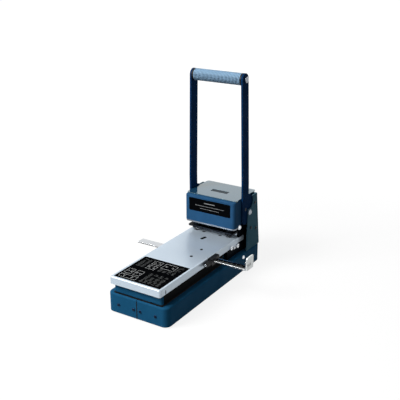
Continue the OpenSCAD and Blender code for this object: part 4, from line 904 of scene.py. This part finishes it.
# Plain print on the table's panel: outlines of sheets, and rows of bars
sheets_tree = printed_sheets_tree()
outline_meshes = []
for width, height, hole, spread, places in SHEET_BLOCKS:
    outline_meshes.append(grow("sheet_outline", sheets_tree, {
        "Width": width * MM, "Height": height * MM, "Line": SHEET_LINE, "Hole": hole * MM,
        "Spread": spread * MM, "Thickness": INK_T, "Material": outline_ink},
        places=[(x * MM, y * MM, 0) for x, y in places]))
rows_tree = printed_rows_tree()
row_meshes = []
for seed, (x, y, width, height, count, columns) in enumerate(ROW_BLOCKS, ROW_SEED):
    rows = grow("printed_row", rows_tree, {
        **ROW_BARS, "Width": width * MM, "Height": height * MM, "Rows": count, "Columns": columns,
        "Seed": seed, "Material": faint_ink})
    rows.transform(Matrix.Translation((x * MM, y * MM, 0)))
    row_meshes.append(rows)
PRINTS = (("table_outlines", outline_meshes, outline_ink), ("table_rows", row_meshes, faint_ink))
for name, meshes, ink in PRINTS:
    printed = joined(name, meshes, ink)
    printed.transform(Matrix.Translation(panel_mid + INK_LIFT))
    piece(printed, "base", "white_plastic")

# Cover's panel: black film with three plain rules
cover_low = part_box("head_cover")[0]
cover_mid = Vector((0, cover_low.y, cover_low.z + COVER_PANEL_LOW + COVER_PANEL[1] / 2))
cover_place = Matrix.Translation(cover_mid) @ TO_FRONT
piece(slab("cover_panel", COVER_PANEL, PANEL_R, PANEL_T, cover_place, panel_film), "base", "black_plastic")
rule_meshes = []
for up, length, thick in COVER_RULES:
    place = cover_place @ Matrix.Translation((0, up * MM, 0)) @ Matrix.Translation(INK_LIFT)
    size = (length * MM, thick * MM)
    rule_meshes.append(slab("rule", size, thick * MM * RULE_ROUND, INK_T, place, silver_ink))
piece(joined("cover_rules", rule_meshes, silver_ink), "base", "white_plastic")

# Plain plate set into the lid's mark
lid_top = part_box("head_lid")[1].z
mark_place = Matrix.Translation((0, cover_low.y + MARK_FRONT + MARK[1] / 2, lid_top - MARK_DEPTH))
piece(slab("lid_plate", MARK, MARK_R, MARK_T, mark_place, mark_film), "base", "dark_steel")


# Camera, light and floor

def aimed(name, data, place, target):
    """Camera or lamp at a place, looking at a target."""
    obj = bpy.data.objects.new(name, data)
    obj.location = place
    obj.rotation_euler = (target - Vector(place)).to_track_quat("-Z", "Y").to_euler()
    in_scene.link(obj)
    return obj


camera_data = bpy.data.cameras.new("camera")
camera_data.lens = CAMERA_LENS
bpy.context.scene.camera = aimed("camera", camera_data, CAMERA_PLACE, CAMERA_TARGET)

for name, place, size, power in LAMPS:
    lamp = bpy.data.lights.new(name, "AREA")
    lamp.size = size
    lamp.energy = power
    aimed(name, lamp, place, LAMP_AIM)


def seen_directly(tree):
    """1 for the rays that show the background itself: camera, glossy and transmission rays."""
    rays = add(tree, "ShaderNodeLightPath").outputs
    both = add(tree, "ShaderNodeMath", {
        0: rays["Is Camera Ray"], 1: rays["Is Glossy Ray"]}, operation="MAXIMUM").outputs[0]
    return add(tree, "ShaderNodeMath", {
        0: both, 1: rays["Is Transmission Ray"]}, operation="MAXIMUM").outputs[0]


world = bpy.data.worlds.new("studio")
world.use_nodes = True
bpy.context.scene.world = world
sky = world.node_tree
background = sky.nodes["Background"]
background.inputs["Color"].default_value = (1.0, 1.0, 1.0, 1.0)
level = add(sky, "ShaderNodeMapRange", {
    0: seen_directly(sky), 1: 0.0, 2: 1.0, 3: WORLD_FILL, 4: 1.0}).outputs["Result"]
sky.links.new(level, background.inputs["Strength"])

# White studio paper: its glow turns the seen floor white, and rises away from the machine and its shadow
floor_mesh = bpy.data.meshes.new("floor")
floor_corners = [(x * FLOOR_HALF, y * FLOOR_HALF, 0) for x, y in ((-1, -1), (1, -1), (1, 1), (-1, 1))]
floor_mesh.from_pydata(floor_corners, [], [(0, 1, 2, 3)])
floor = bpy.data.objects.new("floor", floor_mesh)
in_scene.link(floor)
paper = bpy.data.materials.new("white_studio_paper")
paper.use_nodes = True
sheet = paper.node_tree
sheet.nodes.remove(sheet.nodes["Principled BSDF"])
matt = add(sheet, "ShaderNodeBsdfDiffuse", {"Color": (FLOOR_GREY, FLOOR_GREY, FLOOR_GREY, 1.0)}).outputs[0]
spot = add(sheet, "ShaderNodeTexCoord").outputs["Object"]
away = add(sheet, "ShaderNodeVectorMath", {0: spot}, operation="LENGTH").outputs["Value"]
rise_from, rise_to = GLOW_RISE
rise = add(sheet, "ShaderNodeMapRange", {
    0: away, 1: rise_from, 2: rise_to, 3: GLOW_NEAR, 4: 1.0}).outputs["Result"]
glow_level = add(sheet, "ShaderNodeMath", {
    0: seen_directly(sheet), 1: rise}, operation="MULTIPLY").outputs[0]
glow = add(sheet, "ShaderNodeEmission", {"Strength": glow_level}).outputs[0]
total = add(sheet, "ShaderNodeAddShader", {0: matt, 1: glow}).outputs[0]
sheet.links.new(total, sheet.nodes["Material Output"].inputs["Surface"])
floor_mesh.materials.append(paper)

bpy.context.scene.view_settings.view_transform = "Standard"
